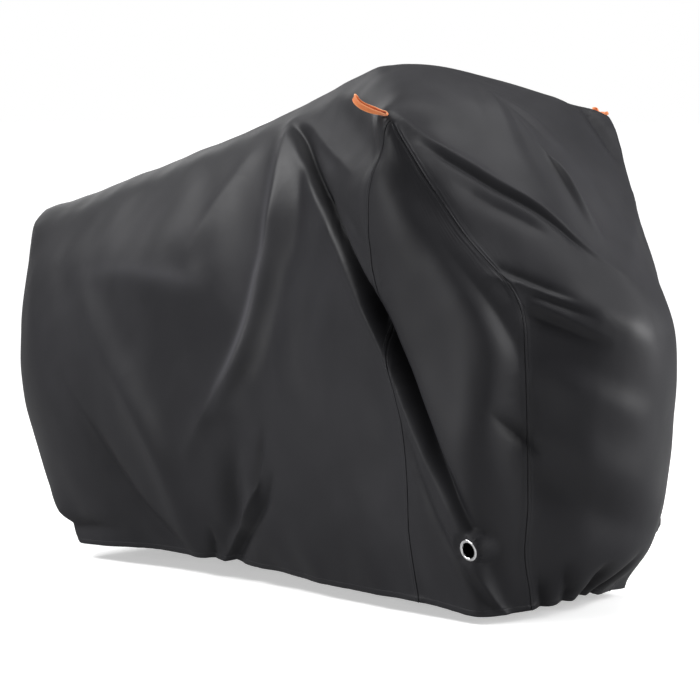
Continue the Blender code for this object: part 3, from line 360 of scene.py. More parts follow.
def nearest_on(line: Array, points: Array, reach: float,
               block: int = 4000) -> Iterator[Tuple[Array, Array, Array, Array]]:
    """Goes through the points near a line, a block at a time.

    Args:
        line: Points along the line.
        points: Points to look at.
        reach: Distance round the line's box within which a point counts as near.
        block: How many points are taken at once.

    Yields:
        Numbers of the points, and for each the span of the line nearest to it, the share of the way along that
        span, and the gap from there to the point.
    """
    ahead = np.diff(line, axis=0)
    length2 = np.maximum((ahead ** 2).sum(1), 1e-12)
    near = np.flatnonzero(((points > line.min(0) - reach) & (points < line.max(0) + reach)).all(1))
    for start in range(0, len(near), block):
        picked = near[start:start + block]
        offset = points[picked, None] - line[None, :-1]
        share = np.clip((offset * ahead).sum(-1) / length2, 0.0, 1.0)
        gap = offset - share[..., None] * ahead
        span, row = (gap ** 2).sum(-1).argmin(1), np.arange(len(picked))
        yield picked, span, share[row, span], gap[row, span]


@dataclass
class DrapedForm:
    """Smooth surface that the cloth lies on before its folds."""

    sections: Tuple[Section, ...] = SECTIONS
    pulls: Tuple[Pull, ...] = PULLS
    level_weights: Tuple[float, ...] = (1.0, 1.0, 1.5, 1.0, .4, .2)
    hem_samples: int = 220
    up_samples: int = 41
    shortest_span: float = 1e-4
    slope_at_corner: float = .35
    spine_step: float = .02
    levels: int = field(init=False, default=6)

    def __post_init__(self) -> None:
        """Lays the control points of the closed run of sections, and where each one lies round it."""
        side = np.zeros((self.levels, len(self.sections), 3))
        for column, section in enumerate(self.sections):
            for level, (x, half, z) in enumerate((section.hem, section.low, section.belly, section.shoulder,
                                                  section.brow)):
                side[level, column] = (x, -half, z)
            side[-1, column] = (section.spine[0], 0.0, section.spine[1])
        other = side[:, -2:0:-1] * np.array((1.0, -1.0, 1.0))
        self.control = np.concatenate([side, other], axis=1)
        chords = np.linalg.norm(np.roll(self.control, -1, axis=1) - self.control, axis=2)
        weight = np.array(self.level_weights)[:, None]
        steps = (chords * weight).sum(0) / weight.sum()
        self.places = np.concatenate([[0.0], np.cumsum(steps)[:-1]])
        self.girth = float(steps.sum())
        self.spine = np.array([section.spine for section in self.sections])
        share = np.arange(self.hem_samples) / self.hem_samples
        ups = np.linspace(0.0, 1.0, self.up_samples)
        run = np.stack([self.points(share, np.full(len(share), up)) for up in ups])
        self._heights = np.linalg.norm(np.diff(run, axis=0), axis=2).sum(0)

    def around(self, level: Array, share: Array) -> Array:
        """Points of one level at shares of the way round.

        Args:
            level: The level's control points.
            share: Shares of the way round.

        Returns:
            One point for each share.
        """
        at = self.places
        knots = np.concatenate([[at[-1] - self.girth], at, [self.girth, self.girth + at[1]]])
        points = np.concatenate([level[-1:], level, level[:2]])
        span = np.diff(knots)[:, None]
        slope = knot_slopes(np.diff(points, axis=0) / span, span)
        where = np.mod(share, 1.0) * self.girth
        cell = np.clip(np.searchsorted(knots, where, side="right") - 1, 1, len(level))
        part = ((where - knots[cell]) / span[cell, 0])[:, None]
        return cubic(points[cell], points[cell + 1], slope[cell - 1], slope[cell], span[cell], part)

    def points(self, share: Array, up: Array) -> Array:
        """Points of the plain form.

        Args:
            share: Shares of the way round.
            up: Shares of the way up, one for each.

        Returns:
            The points, heights above the ground.
        """
        control = np.stack([self.around(level, share) for level in self.control], axis=1)
        span = np.maximum(np.linalg.norm(np.diff(control, axis=1), axis=2), self.shortest_span)
        knots = np.concatenate([np.zeros((len(control), 1)), np.cumsum(span, axis=1)], axis=1)
        chord = np.diff(control, axis=1) / span[..., None]
        slope = np.zeros_like(control)
        slope[:, 1:-1] = np.moveaxis(knot_slopes(np.moveaxis(chord, 1, 0), span.T[..., None]), 0, 1)
        unit = chord / np.linalg.norm(chord, axis=2, keepdims=True)
        bend = np.clip((unit[:, 1:] * unit[:, :-1]).sum(-1, keepdims=True), 0.0, 1.0)
        slope[:, 1:-1] *= self.slope_at_corner + (1.0 - self.slope_at_corner) * bend
        slope[:, 0] = chord[:, 0]
        run, (spine_x, spine_z) = control[:, -1, 0], self.spine.T
        ahead, behind = (np.interp(run + step, spine_x, spine_z) for step in (self.spine_step, -self.spine_step))
        rise = (ahead - behind) / (2.0 * self.spine_step)
        last = chord[:, -1]
        slope[:, -1] = np.stack([last[:, 0], last[:, 1], rise * last[:, 0]], axis=1)
        slope[:, -1] /= np.maximum(np.linalg.norm(slope[:, -1], axis=1, keepdims=True), 1e-6)
        at = up * knots[:, -1]
        cell = np.clip((knots[:, 1:-1] <= at[:, None]).sum(axis=1), 0, self.levels - 2)
        row = np.arange(len(control))
        length = span[row, cell]
        part = ((at - knots[row, cell]) / length)[:, None]
        laid = cubic(control[row, cell], control[row, cell + 1], slope[row, cell], slope[row, cell + 1],
                     length[:, None], part)
        for pull in self.pulls:
            off = (laid - np.array(pull.centre)) / (pull.across, pull.across, pull.up)
            laid = laid + np.exp(-(off ** 2).sum(-1))[:, None] * np.array(pull.shift)
        return laid

    def normals(self, share: Array, up: Array, step: float = .004) -> Array:
        """Outward directions of the plain form.

        Args:
            share: Shares of the way round.
            up: Shares of the way up.
            step: Share moved to either side to read the slope.

        Returns:
            One unit direction for each point.
        """
        below, above = np.clip(up - step, 0.0, 1.0), np.clip(up + step, 0.0, 1.0)
        across = self.points(share + step, up) - self.points(share - step, up)
        along = self.points(share, above) - self.points(share, below)
        normal = np.cross(across, along)
        normal[up > 1.0 - 1e-6, 1] = 0.0
        return normal / np.maximum(np.linalg.norm(normal, axis=1, keepdims=True), 1e-9)

    def height(self, share: Array) -> Array:
        """Length of cloth from the hem to the spine at shares of the way round."""
        knots = np.arange(self.hem_samples + 1) / self.hem_samples
        return np.interp(np.mod(share, 1.0), knots, np.append(self._heights, self._heights[0]))


# ---------------------------------------------------------------- what lifts the cloth off the form
@dataclass
class FoldBook:
    """Folds laid over a draped form."""

    form: DrapedForm
    folds: Tuple[Fold, ...] = MAIN_FOLDS + FINE_FOLDS
    samples: int = 48
    metres: Pair = (4.1, 1.2)
    widths_read: float = 3.2
    turn_share: float = .25
    shade_reach: float = 1.25
    shade_share: float = .42
    bend_reach: float = 1.5
    slightest_bend: float = 1e-3

    def line(self, fold: Fold) -> Tuple[Array, Array, Array]:
        """Even points along a fold's line on the plain form.

        Args:
            fold: The fold.

        Returns:
            The points, the outward directions there and the rise at each.
        """
        rows = np.array(fold.line)
        knots = run_along(rows[:, :2] * self.metres)
        at = np.linspace(0.0, knots[-1], self.samples)
        smooth = smooth_at(knots, rows, at)
        share, up = smooth[:, 0], np.clip(smooth[:, 1], 0.0, 1.0)
        return self.form.points(share, up), self.form.normals(share, up), np.interp(at, knots, rows[:, 2])

    def read(self, points: Array) -> Iterator[Tuple[Array, Array, Array, Array, float]]:
        """Goes through the folds near some points.

        Args:
            points: Points of the plain form.

        Yields:
            Numbers of the points near a fold, and for each its distance from the line, the fold's reach on its
            side, the rise there and the fold's crispness.
        """
        for fold in self.folds:
            line, normal, rise = self.line(fold)
            ahead = np.diff(line, axis=0)
            ease = self.turn_share * min(fold.left, fold.right)
            for picked, span, share, gap in nearest_on(line, points, self.widths_read * max(fold.left, fold.right)):
                side = (np.cross(normal[span], ahead[span]) * gap).sum(-1)
                # the reach changes smoothly from one side of the line to the other
                width = fold.right + (fold.left - fold.right) * (.5 + .5 * np.tanh(side / ease))
                away = np.sqrt((gap ** 2).sum(-1))
                yield picked, away, width, rise[span] * (1.0 - share) + rise[span + 1] * share, fold.crisp

    def heights(self, points: Array) -> Array:
        """Lift of the folds.

        Args:
            points: Points on the plain form.

        Returns:
            One lift off it in metres for each point.
        """
        height = np.zeros(len(points))
        for picked, away, width, rise, crisp in self.read(points):
            height[picked] += rise * np.exp(-(away / width) ** crisp)
        return height

    def shade(self, points: Array) -> Array:
        """How tightly points lie in the valleys of folds: the mask of the painted shade that darkens the cloth's
        colour and lowers its specular level there.

        Args:
            points: Points on the plain form.

        Returns:
            One value for each point, from 0 on open cloth to 1.
        """
        total = np.zeros(len(points))
        for picked, away, width, rise, _crisp in self.read(points):
            total[picked] += np.maximum(-rise, 0.0) / width * np.exp(-(away / (self.shade_reach * width)) ** 2)
        return np.clip(total * self.shade_share, 0.0, 1.0)

    def cell_size(self, points: Array, play: float = .00014) -> Array:
        """Size of cell that keeps within a little play of the folded cloth.

        Args:
            points: Points of the plain form.
            play: Distance that a flat cell may stand off the cloth.

        Returns:
            One size in metres for each point.
        """
        bend = np.full(len(points), self.slightest_bend)
        for picked, away, width, rise, _crisp in self.read(points):
            bend[picked] += 2.0 * np.abs(rise) / width ** 2 * np.exp(-(away / (self.bend_reach * width)) ** 2)
        # a chord stands off a curve by an eighth of its bend times the chord's square
        return np.sqrt(8.0 * play / bend)


@dataclass
class Slack:
    """Low, slow unevenness of cloth that hangs free, the sum of a few seeded waves."""

    waves: int = 14
    lift: float = .0011
    shortest: float = .07
    longest: float = .26
    upright: float = .55
    bow: float = .6
    bow_share: float = .4
    bow_turn: float = 1.7
    growth: float = .8
    seed: int = 41

    def heights(self, points: Array) -> Array:
        """How far each point is lifted by the slack.

        Args:
            points: Points of the plain form.

        Returns:
            One height in metres for each point.
        """
        dice = np.random.default_rng(self.seed)
        total = np.zeros(len(points))
        for _ in range(self.waves):
            length = self.shortest * (self.longest / self.shortest) ** dice.random()
            heading = dice.normal(size=3) * (1.0, 1.0, self.upright)
            heading *= 2.0 * math.pi / length / np.linalg.norm(heading)
            phase = dice.random() * 2.0 * math.pi
            bend = self.bow * np.sin(points @ (heading[[1, 2, 0]] * self.bow_share) + phase * self.bow_turn)
            total += (length / self.longest) ** self.growth * np.sin(points @ heading + phase + bend)
        return total * self.lift / math.sqrt(self.waves) * 2.0


def welt_lift(away: Array, doubled: float, width: float, ease: float) -> Array:
    """Lift of a doubled layer that ends at a width, with an ease at its end."""
    return doubled / (1.0 + np.exp((away - width) / ease))


def stitch_groove(away: Array, at: float, depth: float, half: float) -> Array:
    """Depth that a line of thread draws the cloth in by."""
    return depth * np.exp(-((away - at) / half) ** 2)


@dataclass
class SewnEdge:
    """Relief of a sewn edge: a welt of doubled cloth, its stitch line and the pucker that the thread draws in."""

    welt: float = .0009
    width: float = .0095
    welt_ease: float = .0011
    stitch: float = .0045
    groove: float = .0005
    groove_half: float = .0013
    pucker: float = .0012
    pucker_reach: float = .026
    pucker_pitches: Tuple[float, ...] = (.01922, .031, .04495, .0713)
    wander: float = 3.7
    wander_swing: float = 1.3
    gate_pitch: float = .23
    least: float = .35
    free_from: float = .006
    fading: float = 1.2
    turn: float = 6.28
    seed: int = 7

    def heights(self, away: Array, along: Array) -> Array:
        """Lift beside the edge.

        Args:
            away: Distance from the edge in metres.
            along: Distance along the edge in metres.

        Returns:
            One height in metres for each point.
        """
        dice = np.random.default_rng(self.seed)
        around = along * 2.0 * math.pi
        wave = np.zeros_like(away)
        for pitch in self.pucker_pitches:
            wave += np.sin(around / pitch + dice.random() * self.turn
                           + self.wander_swing * np.sin(around / (pitch * self.wander)))
        swell = .5 + .5 * np.sin(around / self.gate_pitch + dice.random() * self.turn)
        gate = self.least + (1.0 - self.least) * swell
        fade = np.exp(-(away / self.pucker_reach) ** self.fading) * np.clip(away / self.free_from, self.least, 1.0)
        return (welt_lift(away, self.welt, self.width, self.welt_ease)
                - stitch_groove(away, self.stitch, self.groove, self.groove_half)
                + self.pucker / 2.0 * wave * gate * fade)


@dataclass
class HemBand:
    """Relief of the turned-up hem: a doubled band with one row of stitches."""

    band: float = .013
    beyond: float = .0012
    doubled: float = .0007
    doubled_ease: float = .0006
    groove: float = .0005
    groove_half: float = .0013
    edge_round: float = .0006
    edge_reach: float = .0016
    pucker: float = .0009
    pucker_pitch: float = .037
    pucker_reach: float = .03
    wander_swing: float = 1.1
    wander_rate: float = 9.0
    second: float = .7
    second_pitch: float = 1.9
    fading: float = 1.3
    gate_pitch: float = .41
    rows: Tuple[float, ...] = (0.0, .0022, .0052, .0090, .0112, .0124, .0130, .0136, .0148, .0170, .0215, .0290,
                               .0390, .0510)

    def heights(self, away: Array, along: Array) -> Array:
        """Lift above the cloth near the hem.

        Args:
            away: Distance up from the edge in metres.
            along: Distance round the hem in metres.

        Returns:
            One height in metres for each point.
        """
        around = along * 2.0 * math.pi
        wave = (np.sin(around / self.pucker_pitch + self.wander_swing * np.sin(along * self.wander_rate))
                + self.second * np.sin(around / (self.pucker_pitch * self.second_pitch) + 2.0))
        gate = .5 + .5 * np.sin(around / self.gate_pitch + 1.0)
        return (welt_lift(away, self.doubled, self.band + self.beyond, self.doubled_ease)
                - stitch_groove(away, self.band, self.groove, self.groove_half)
                - stitch_groove(away, 0.0, self.edge_round, self.edge_reach)
                + self.pucker / 2.0 * wave * gate * np.exp(-(away / self.pucker_reach) ** self.fading))


# ---------------------------------------------------------------- cutting the sewn pieces
@dataclass
class Panel:
    """Net of points of one sewn piece.

    Each point has a side, a share of the way from the rear centre to the front centre, a share of the way up and
    a depth that it is pressed in. A point on a middle line belongs to the right side.
    """

    name: str
    near: List[float] = field(default_factory=list)
    up: List[float] = field(default_factory=list)
    depth: List[float] = field(default_factory=list)
    left: List[bool] = field(default_factory=list)
    cells: Faces = field(default_factory=list)
    cell_left: List[bool] = field(default_factory=list)
    lines: Dict[str, List[int]] = field(default_factory=dict)
    points: Array = field(default_factory=lambda: np.zeros((0, 3)))

    def add(self, left: bool, near: float, up: float, depth: float = 0.0) -> int:
        """Adds a point.

        Args:
            left: Whether it is on the left side.
            near: Share of the way from the rear centre to the front centre.
            up: Share of the way up.
            depth: How far it is pressed in.

        Returns:
            Its number.
        """
        self.near.append(near)
        self.up.append(up)
        self.depth.append(depth)
        self.left.append(left)
        return len(self.near) - 1

    def shares(self) -> Array:
        """Shares of the way round and up of all the points."""
        near, left = np.array(self.near), np.array(self.left)
        return np.stack([np.where(left, 1.0 - near, near), np.array(self.up)], axis=1)

    def refine(self, drape: "Drape", passes: int = 2, tallness: float = 1.2) -> None:
        """Splits the four-sided cells that are too coarse for the folds on them.

        Args:
            drape: The cloth's shape.
            passes: How many times over.
            tallness: How much more a cell's width counts than its height.
        """
        for _ in range(passes):
            shares = self.shares()
            base = drape.form.points(shares[:, 0], shares[:, 1])
            whole = np.array([n for n, cell in enumerate(self.cells) if len(cell) == 4])
            ring = base[np.array([self.cells[n] for n in whole])]
            sides = np.linalg.norm(ring - np.roll(ring, -1, axis=1), axis=2)
            size = np.minimum(np.maximum(sides[:, 0], sides[:, 2]), np.maximum(sides[:, 1], sides[:, 3]) * tallness)
            wanted = drape.folds.cell_size(ring.mean(1))
            split = set(whole[size > wanted].tolist())
            middles: Dict[Pair, int] = {}
            for number in split:
                cell, left = self.cells[number], self.cell_left[number]
                for a, b in zip(cell, cell[1:] + cell[:1]):
                    key = (min(a, b), max(a, b))
                    if key in middles:
                        continue
                    shared = (self.near[a] == self.near[b] and self.near[a] in (0.0, .5)) or (
                        self.up[a] == self.up[b] == 1.0)
                    middles[key] = self.add(left and not shared, (self.near[a] + self.near[b]) / 2.0,
                                            (self.up[a] + self.up[b]) / 2.0, (self.depth[a] + self.depth[b]) / 2.0)
            cells, cell_left = [], []
            for number, (cell, left) in enumerate(zip(self.cells, self.cell_left)):
                halves = [middles.get((min(a, b), max(a, b))) for a, b in zip(cell, cell[1:] + cell[:1])]
                if number in split:
                    middle = self.add(left, sum(self.near[c] for c in cell) / 4.0, sum(self.up[c] for c in cell) / 4.0,
                                      sum(self.depth[c] for c in cell) / 4.0)
                    cells += [[cell[n], halves[n], middle, halves[n - 1]] for n in range(4)]
                    cell_left += [left] * 4
                else:
                    full = [c for a, half in zip(cell, halves) for c in ((a,) if half is None else (a, half))]
                    cells.append(full)
                    cell_left.append(left)
            self.cells, self.cell_left = cells, cell_left

    def normals(self, points: Array) -> Array:
        """Area-weighted outward direction at each point.

        Args:
            points: Places of the net's points.

        Returns:
            One unit direction for each point.
        """
        total = np.zeros_like(points)
        for count in sorted({len(cell) for cell in self.cells}):
            ring = np.array([cell for cell in self.cells if len(cell) == count])
            corner = points[ring]
            normal = np.cross(corner, np.roll(corner, -1, axis=1)).sum(1)
            for turn in range(count):
                np.add.at(total, ring[:, turn], normal)
        return total / np.maximum(np.linalg.norm(total, axis=1, keepdims=True), 1e-12)


@dataclass
class Drape:
    """The cloth's shape: a form, its folds, its slack, its hem and where its seams run."""

    form: DrapedForm
    folds: FoldBook
    slack: Slack
    hem: HemBand
    seam: SewnEdge
    mount: Triple = (.130, 0.0, 1.1575)
    thickness: float = .0012
    tip_up: float = TIP_UP
    seam_reach: float = .08
    crowded: float = 1.25
    settled: float = .25

    def up_at(self, share: Array, row: float) -> Array:
        """Shares up of a row, those of the hem's rows being set in metres.

        Args:
            share: Shares of the way round.
            row: Row's place: metres when below the free rows, otherwise a share with 1 added.

        Returns:
            One share up for each share round.
        """
        top = self.hem.rows[-1] / self.form.height(share)
        if row < 1.0:
            return row / self.form.height(share)
        if row == 2.0:
            return np.ones_like(top)
        nominal = row - 1.0
        start = self.hem.rows[-1] / self.crowded
        blend = np.clip((self.settled - nominal) / (self.settled - start), 0.0, 1.0)
        return nominal + (top - start) * blend

    def seam_share(self, table: Sequence[Pair], up: float) -> float:
        """Share of the way round of a seam at a height."""
        return float(along_table(table, np.array(up)))

    def seam_curve(self, side: Side, table: Sequence[Pair], count: int = 120) -> Array:
        """Points of a seam on the plain form, from the hem to the tip."""
        ups = np.linspace(0.0, self.tip_up, count)
        return self.form.points(side.share(along_table(table, ups)), ups)

    def spot(self, side: Side, near: float, up: float, off: float = 0.0) -> Array:
        """Point on the folded cloth of one side.

        Args:
            side: Side of the cover.
            near: Share of the way from the rear centre to the front centre.
            up: Share of the way up.
            off: How far it stands off the cloth.

        Returns:
            The point.
        """
        share, ups = np.array([side.share(near)]), np.array([up])
        base = self.form.points(share, ups)
        return (base + self.form.normals(share, ups) * (self.folds.heights(base) + off)[:, None])[0]

    def relief(self, base: Array, shares: Array, curves: Sequence[Array]) -> Array:
        """Lift of the cloth off the plain form.

        Args:
            base: Points of the plain form.
            shares: Their shares round and up.
            curves: Sewn edges near them, as points from the hem up.

        Returns:
            One height in metres for each point.
        """
        total = self.folds.heights(base) + self.slack.heights(base)
        away = shares[:, 1] * self.form.height(shares[:, 0])
        total += self.hem.heights(away, shares[:, 0] * self.form.girth)
        for curve in curves:
            run = run_along(curve)
            for picked, span, share, gap in nearest_on(curve, base, self.seam_reach):
                along = run[span] + share * (run[span + 1] - run[span])
                total[picked] += self.seam.heights(np.linalg.norm(gap, axis=-1), along)
        return total

    def lay(self, panel: Panel, curves: Sequence[Array], sink: float = 0.0) -> None:
        """Gives a panel's points their places on the folded cloth.

        Args:
            panel: The panel.
            curves: Sewn edges near it.
            sink: How far the whole panel lies under the cloth's outer face.
        """
        shares = panel.shares()
        base = self.form.points(shares[:, 0], shares[:, 1])
        outward = self.form.normals(shares[:, 0], shares[:, 1])
        lift = self.relief(base, shares, curves) - sink - np.array(panel.depth)
        panel.points = base + outward * lift[:, None]


def new_object(name: str, data: Optional[ID]) -> Object:
    """Puts a new object in the scene.

    Args:
        name: Its name.
        data: Its mesh, lamp or camera, or None.

    Returns:
        The object.
    """
    item = bpy.data.objects.new(name, data)
    bpy.context.scene.collection.objects.link(item)
    return item


def ring_faces(steps: int, count: int) -> Faces:
    """Faces of a closed run of sections.

    Args:
        steps: How many sections.
        count: How many points in each.

    Returns:
        The corner numbers of the faces.
    """
    faces: Faces = []
    for step in range(steps):
        here, after = step * count, (step + 1) % steps * count
        faces += [[here + n, after + n, after + (n + 1) % count, here + (n + 1) % count] for n in range(count)]
    return faces


def flat_mesh(name: str, points: Array, faces: Sequence[Sequence[int]], mount: Triple, smooth: bool = True) -> Object:
    """Mesh object whose points are set down from the mount.

    Args:
        name: Name of the piece.
        points: Points with heights above the ground.
        faces: Corner numbers of each face.
        mount: The row's origin, with its height above the ground.
        smooth: Whether faces are shaded smooth.

    Returns:
        The new object.
    """
    mesh = bpy.data.meshes.new(name)
    mesh.from_pydata((np.asarray(points) - np.array(mount)).tolist(), [], [list(map(int, f)) for f in faces])
    mesh.validate()
    mesh.polygons.foreach_set("use_smooth", [smooth] * len(mesh.polygons))
    mesh.update()
    return new_object(name, mesh)


def sheet_mesh(drape: Drape, panel: Panel) -> Object:
    """Closes a panel's two skins with a rim, and gives them a map of the flat cloth and two masks: painted shade in
    the valleys of folds and painted highlight along chosen creases.

    Args:
        drape: The cloth's shape.
        panel: The panel, its points laid.

    Returns:
        The closed sheet.
    """
    outer = panel.points
    inner = outer - drape.thickness * panel.normals(outer)
    used = np.unique(np.concatenate([np.asarray(cell) for cell in panel.cells]))
    place = np.full(len(outer), -1)
    place[used] = np.arange(len(used))
    count = len(used)
    faces: Faces = []
    edges = set()
    for cell in panel.cells:
        skin = [int(place[c]) for c in cell]
        faces.append(skin)
        faces.append([count + n for n in reversed(skin)])
        edges |= set(zip(skin, skin[1:] + skin[:1]))
    faces += [[b, a, count + a, count + b] for a, b in sorted(edges) if (b, a) not in edges]
    item = flat_mesh(panel.name, np.concatenate([outer[used], inner[used]]), faces, drape.mount)
    near, up = np.array(panel.near), np.array(panel.up)
    flat = np.stack([near * drape.form.girth, up * drape.form.height(near)], axis=1)[used]
    lay_map(item, "Cloth", np.concatenate([flat, flat]))
    shares = panel.shares()[used]
    plain = drape.form.points(shares[:, 0], shares[:, 1])
    # Masks for the painted highlight along chosen creases and the painted shade in fold valleys.
    worn = np.clip(FoldBook(drape.form, PAINTED_CREASE_HIGHLIGHTS).heights(plain), 0.0, 1.0)
    for name, values in (("Valley", drape.folds.shade(plain)), ("Worn", worn)):
        layer = item.data.attributes.new(name, "FLOAT", "POINT")
        layer.data.foreach_set("value", np.tile(values, 2).astype(np.float32))
    return item


def lay_map(item: Object, name: str, places: Array) -> None:
    """Gives a mesh a map.

    Args:
        item: The mesh object.
        name: Name of the map.
        places: One pair for each of its points.
    """
    layer = item.data.uv_layers.new(name=name)
    corner = np.empty(len(item.data.loops), dtype=np.int32)
    item.data.loops.foreach_get("vertex_index", corner)
    layer.data.foreach_set("uv", places[corner].astype(np.float32).ravel())


@dataclass
class CoverBody:
    """The main piece of cloth: both flanks, the back, the top and the nose, with a notch for each gusset."""

    drape: Drape
    rear_columns: int = 96
    front_columns: int = 40
    lower_rows: int = 60
    upper_rows: int = 32
    crowding: float = 1.22
    edge: Tuple[float, ...] = (0.0, .0009, .0020, .0034, .0045, .0056, .0072, .0090, .0112, .0150, .0210)

    def rows(self) -> List[float]:
        """Places of the net's rows.

        Returns:
            Metres up from the hem for its own rows, then shares of the way up with 1 added.
        """
        hem = list(self.drape.hem.rows)
        start, tip = hem[-1] / self.drape.crowded, self.drape.tip_up
        lower = [1.0 + up for up in np.linspace(start, tip, self.lower_rows + 1)]
        upper = [1.0 + up for up in np.linspace(tip, 1.0, self.upper_rows + 1)]
        return hem[:-1] + lower + upper[1:]

    def nominal(self, row: float) -> float:
        """Share up that a row's columns are placed for."""
        return row / self.drape.crowded if row < 1.0 else row - 1.0

    def columns(self, up: float) -> Tuple[Array, Array]:
        """Shares round of one side's columns, behind and ahead of its gusset.

        Args:
            up: Share of the way up.

        Returns:
            Shares from the rear centre to the rear seam, and from the front seam to the front centre.
        """
        girth = self.drape.form.girth
        rear = self.drape.seam_share(REAR_SEAM, up)
        front = rear if up >= self.drape.tip_up else self.drape.seam_share(FRONT_SEAM, up)
        edge = np.array(self.edge) / girth
        steps = np.arange(self.rear_columns + 1) / self.rear_columns
        end = rear - edge[-1]
        behind = np.concatenate([end * (1.0 - (1.0 - steps) ** self.crowding), rear - edge[-2::-1]])
        ahead = np.concatenate([front + edge[:-1], np.linspace(front + edge[-1], .5, self.front_columns + 1)])
        return behind, ahead

    def cut(self) -> Panel:
        """Lays out the net of the body.

        Returns:
            The panel, with its stitch lines named.
        """
        rows = self.rows()
        tip = next(n for n, row in enumerate(rows) if row >= 1.0 + self.drape.tip_up - 1e-9)
        table = [np.concatenate(self.columns(self.nominal(row))) for row in rows]
        ups = [[self.drape.up_at(side.share(near), row) for near, row in zip(table, rows)] for side in Side]
        behind, ahead = self.columns(0.5)
        seam, last = len(behind), len(behind) + len(ahead) - 1
        panel, ids = Panel("cover_cloth"), {}

        def point(left: bool, row: int, column: int) -> int:
            """Number of a point of the net, shared where sides and seams meet.

            Args:
                left: Whether it is on the left side.
                row: Number of its row.
                column: Number of its column.

            Returns:
                The point's number in the panel.
            """
            column = seam - 1 if row >= tip and column == seam else column
            left = left and column not in (0, last) and row < len(rows) - 1
            key = (left, row, column)
            if key not in ids:
                near = {0: 0.0, last: .5}.get(column, float(table[row][column]))
                ids[key] = panel.add(left, near, float(ups[left][row][column]))
            return ids[key]

        for left in (False, True):
            for row in range(len(rows) - 1):
                for column in range(last):
                    if column == seam - 1 and row < tip:
                        continue
                    ring = [point(left, row, column), point(left, row, column + 1),
                            point(left, row + 1, column + 1), point(left, row + 1, column)]
                    ring = [c for n, c in enumerate(ring) if c != ring[n - 1]]
                    if len(set(ring)) >= 3:
                        panel.cells.append(ring[::-1] if left else ring)
                        panel.cell_left.append(left)
        hem_row, stitch = rows.index(self.drape.hem.band), self.edge.index(self.drape.seam.stitch)
        for side in Side:
            left = side is Side.LEFT
            panel.lines[f"hem_rear_{side.word}"] = [point(left, hem_row, c) for c in range(seam)]
            panel.lines[f"hem_front_{side.word}"] = [point(left, hem_row, c) for c in range(seam, last + 1)]
            panel.lines[f"seam_rear_{side.word}"] = [point(left, row, seam - 1 - stitch) for row in range(tip)]
            panel.lines[f"seam_front_{side.word}"] = [point(left, row, seam + stitch) for row in range(tip)]
        panel.refine(self.drape)
        return panel

    def build(self) -> Tuple[Object, Panel]:
        """Builds the closed sheet.

        Returns:
            The object, and the panel with its points laid.
        """
        panel = self.cut()
        self.drape.lay(panel, [self.drape.seam_curve(side, table) for side in Side
                               for table in (REAR_SEAM, FRONT_SEAM)])
        return sheet_mesh(self.drape, panel), panel


def rings_joined(outer: List[int], outer_turn: Array, inner: List[int], inner_turn: Array) -> Faces:
    """Triangles that join two rings of points.

    Args:
        outer: Numbers of the outer ring's points.
        outer_turn: Angle of each, rising.
        inner: Numbers of the inner ring's points.
        inner_turn: Angle of each, rising.

    Returns:
        The triangles.
    """
    outside, inside = outer + [outer[0]], inner + [inner[0]]
    outer_at = np.append(outer_turn, outer_turn[0] + 2.0 * math.pi)
    inner_at = np.append(inner_turn, 2.0 * math.pi)
    faces: Faces = []
    a = b = 0
    while a < len(outer) or b < len(inner):
        if b == len(inner) or (a < len(outer) and outer_at[a + 1] <= inner_at[b + 1]):
            faces.append([outside[a], outside[a + 1], inside[b]])
            a += 1
        else:
            faces.append([outside[a], inside[b + 1], inside[b]])
            b += 1
    return faces


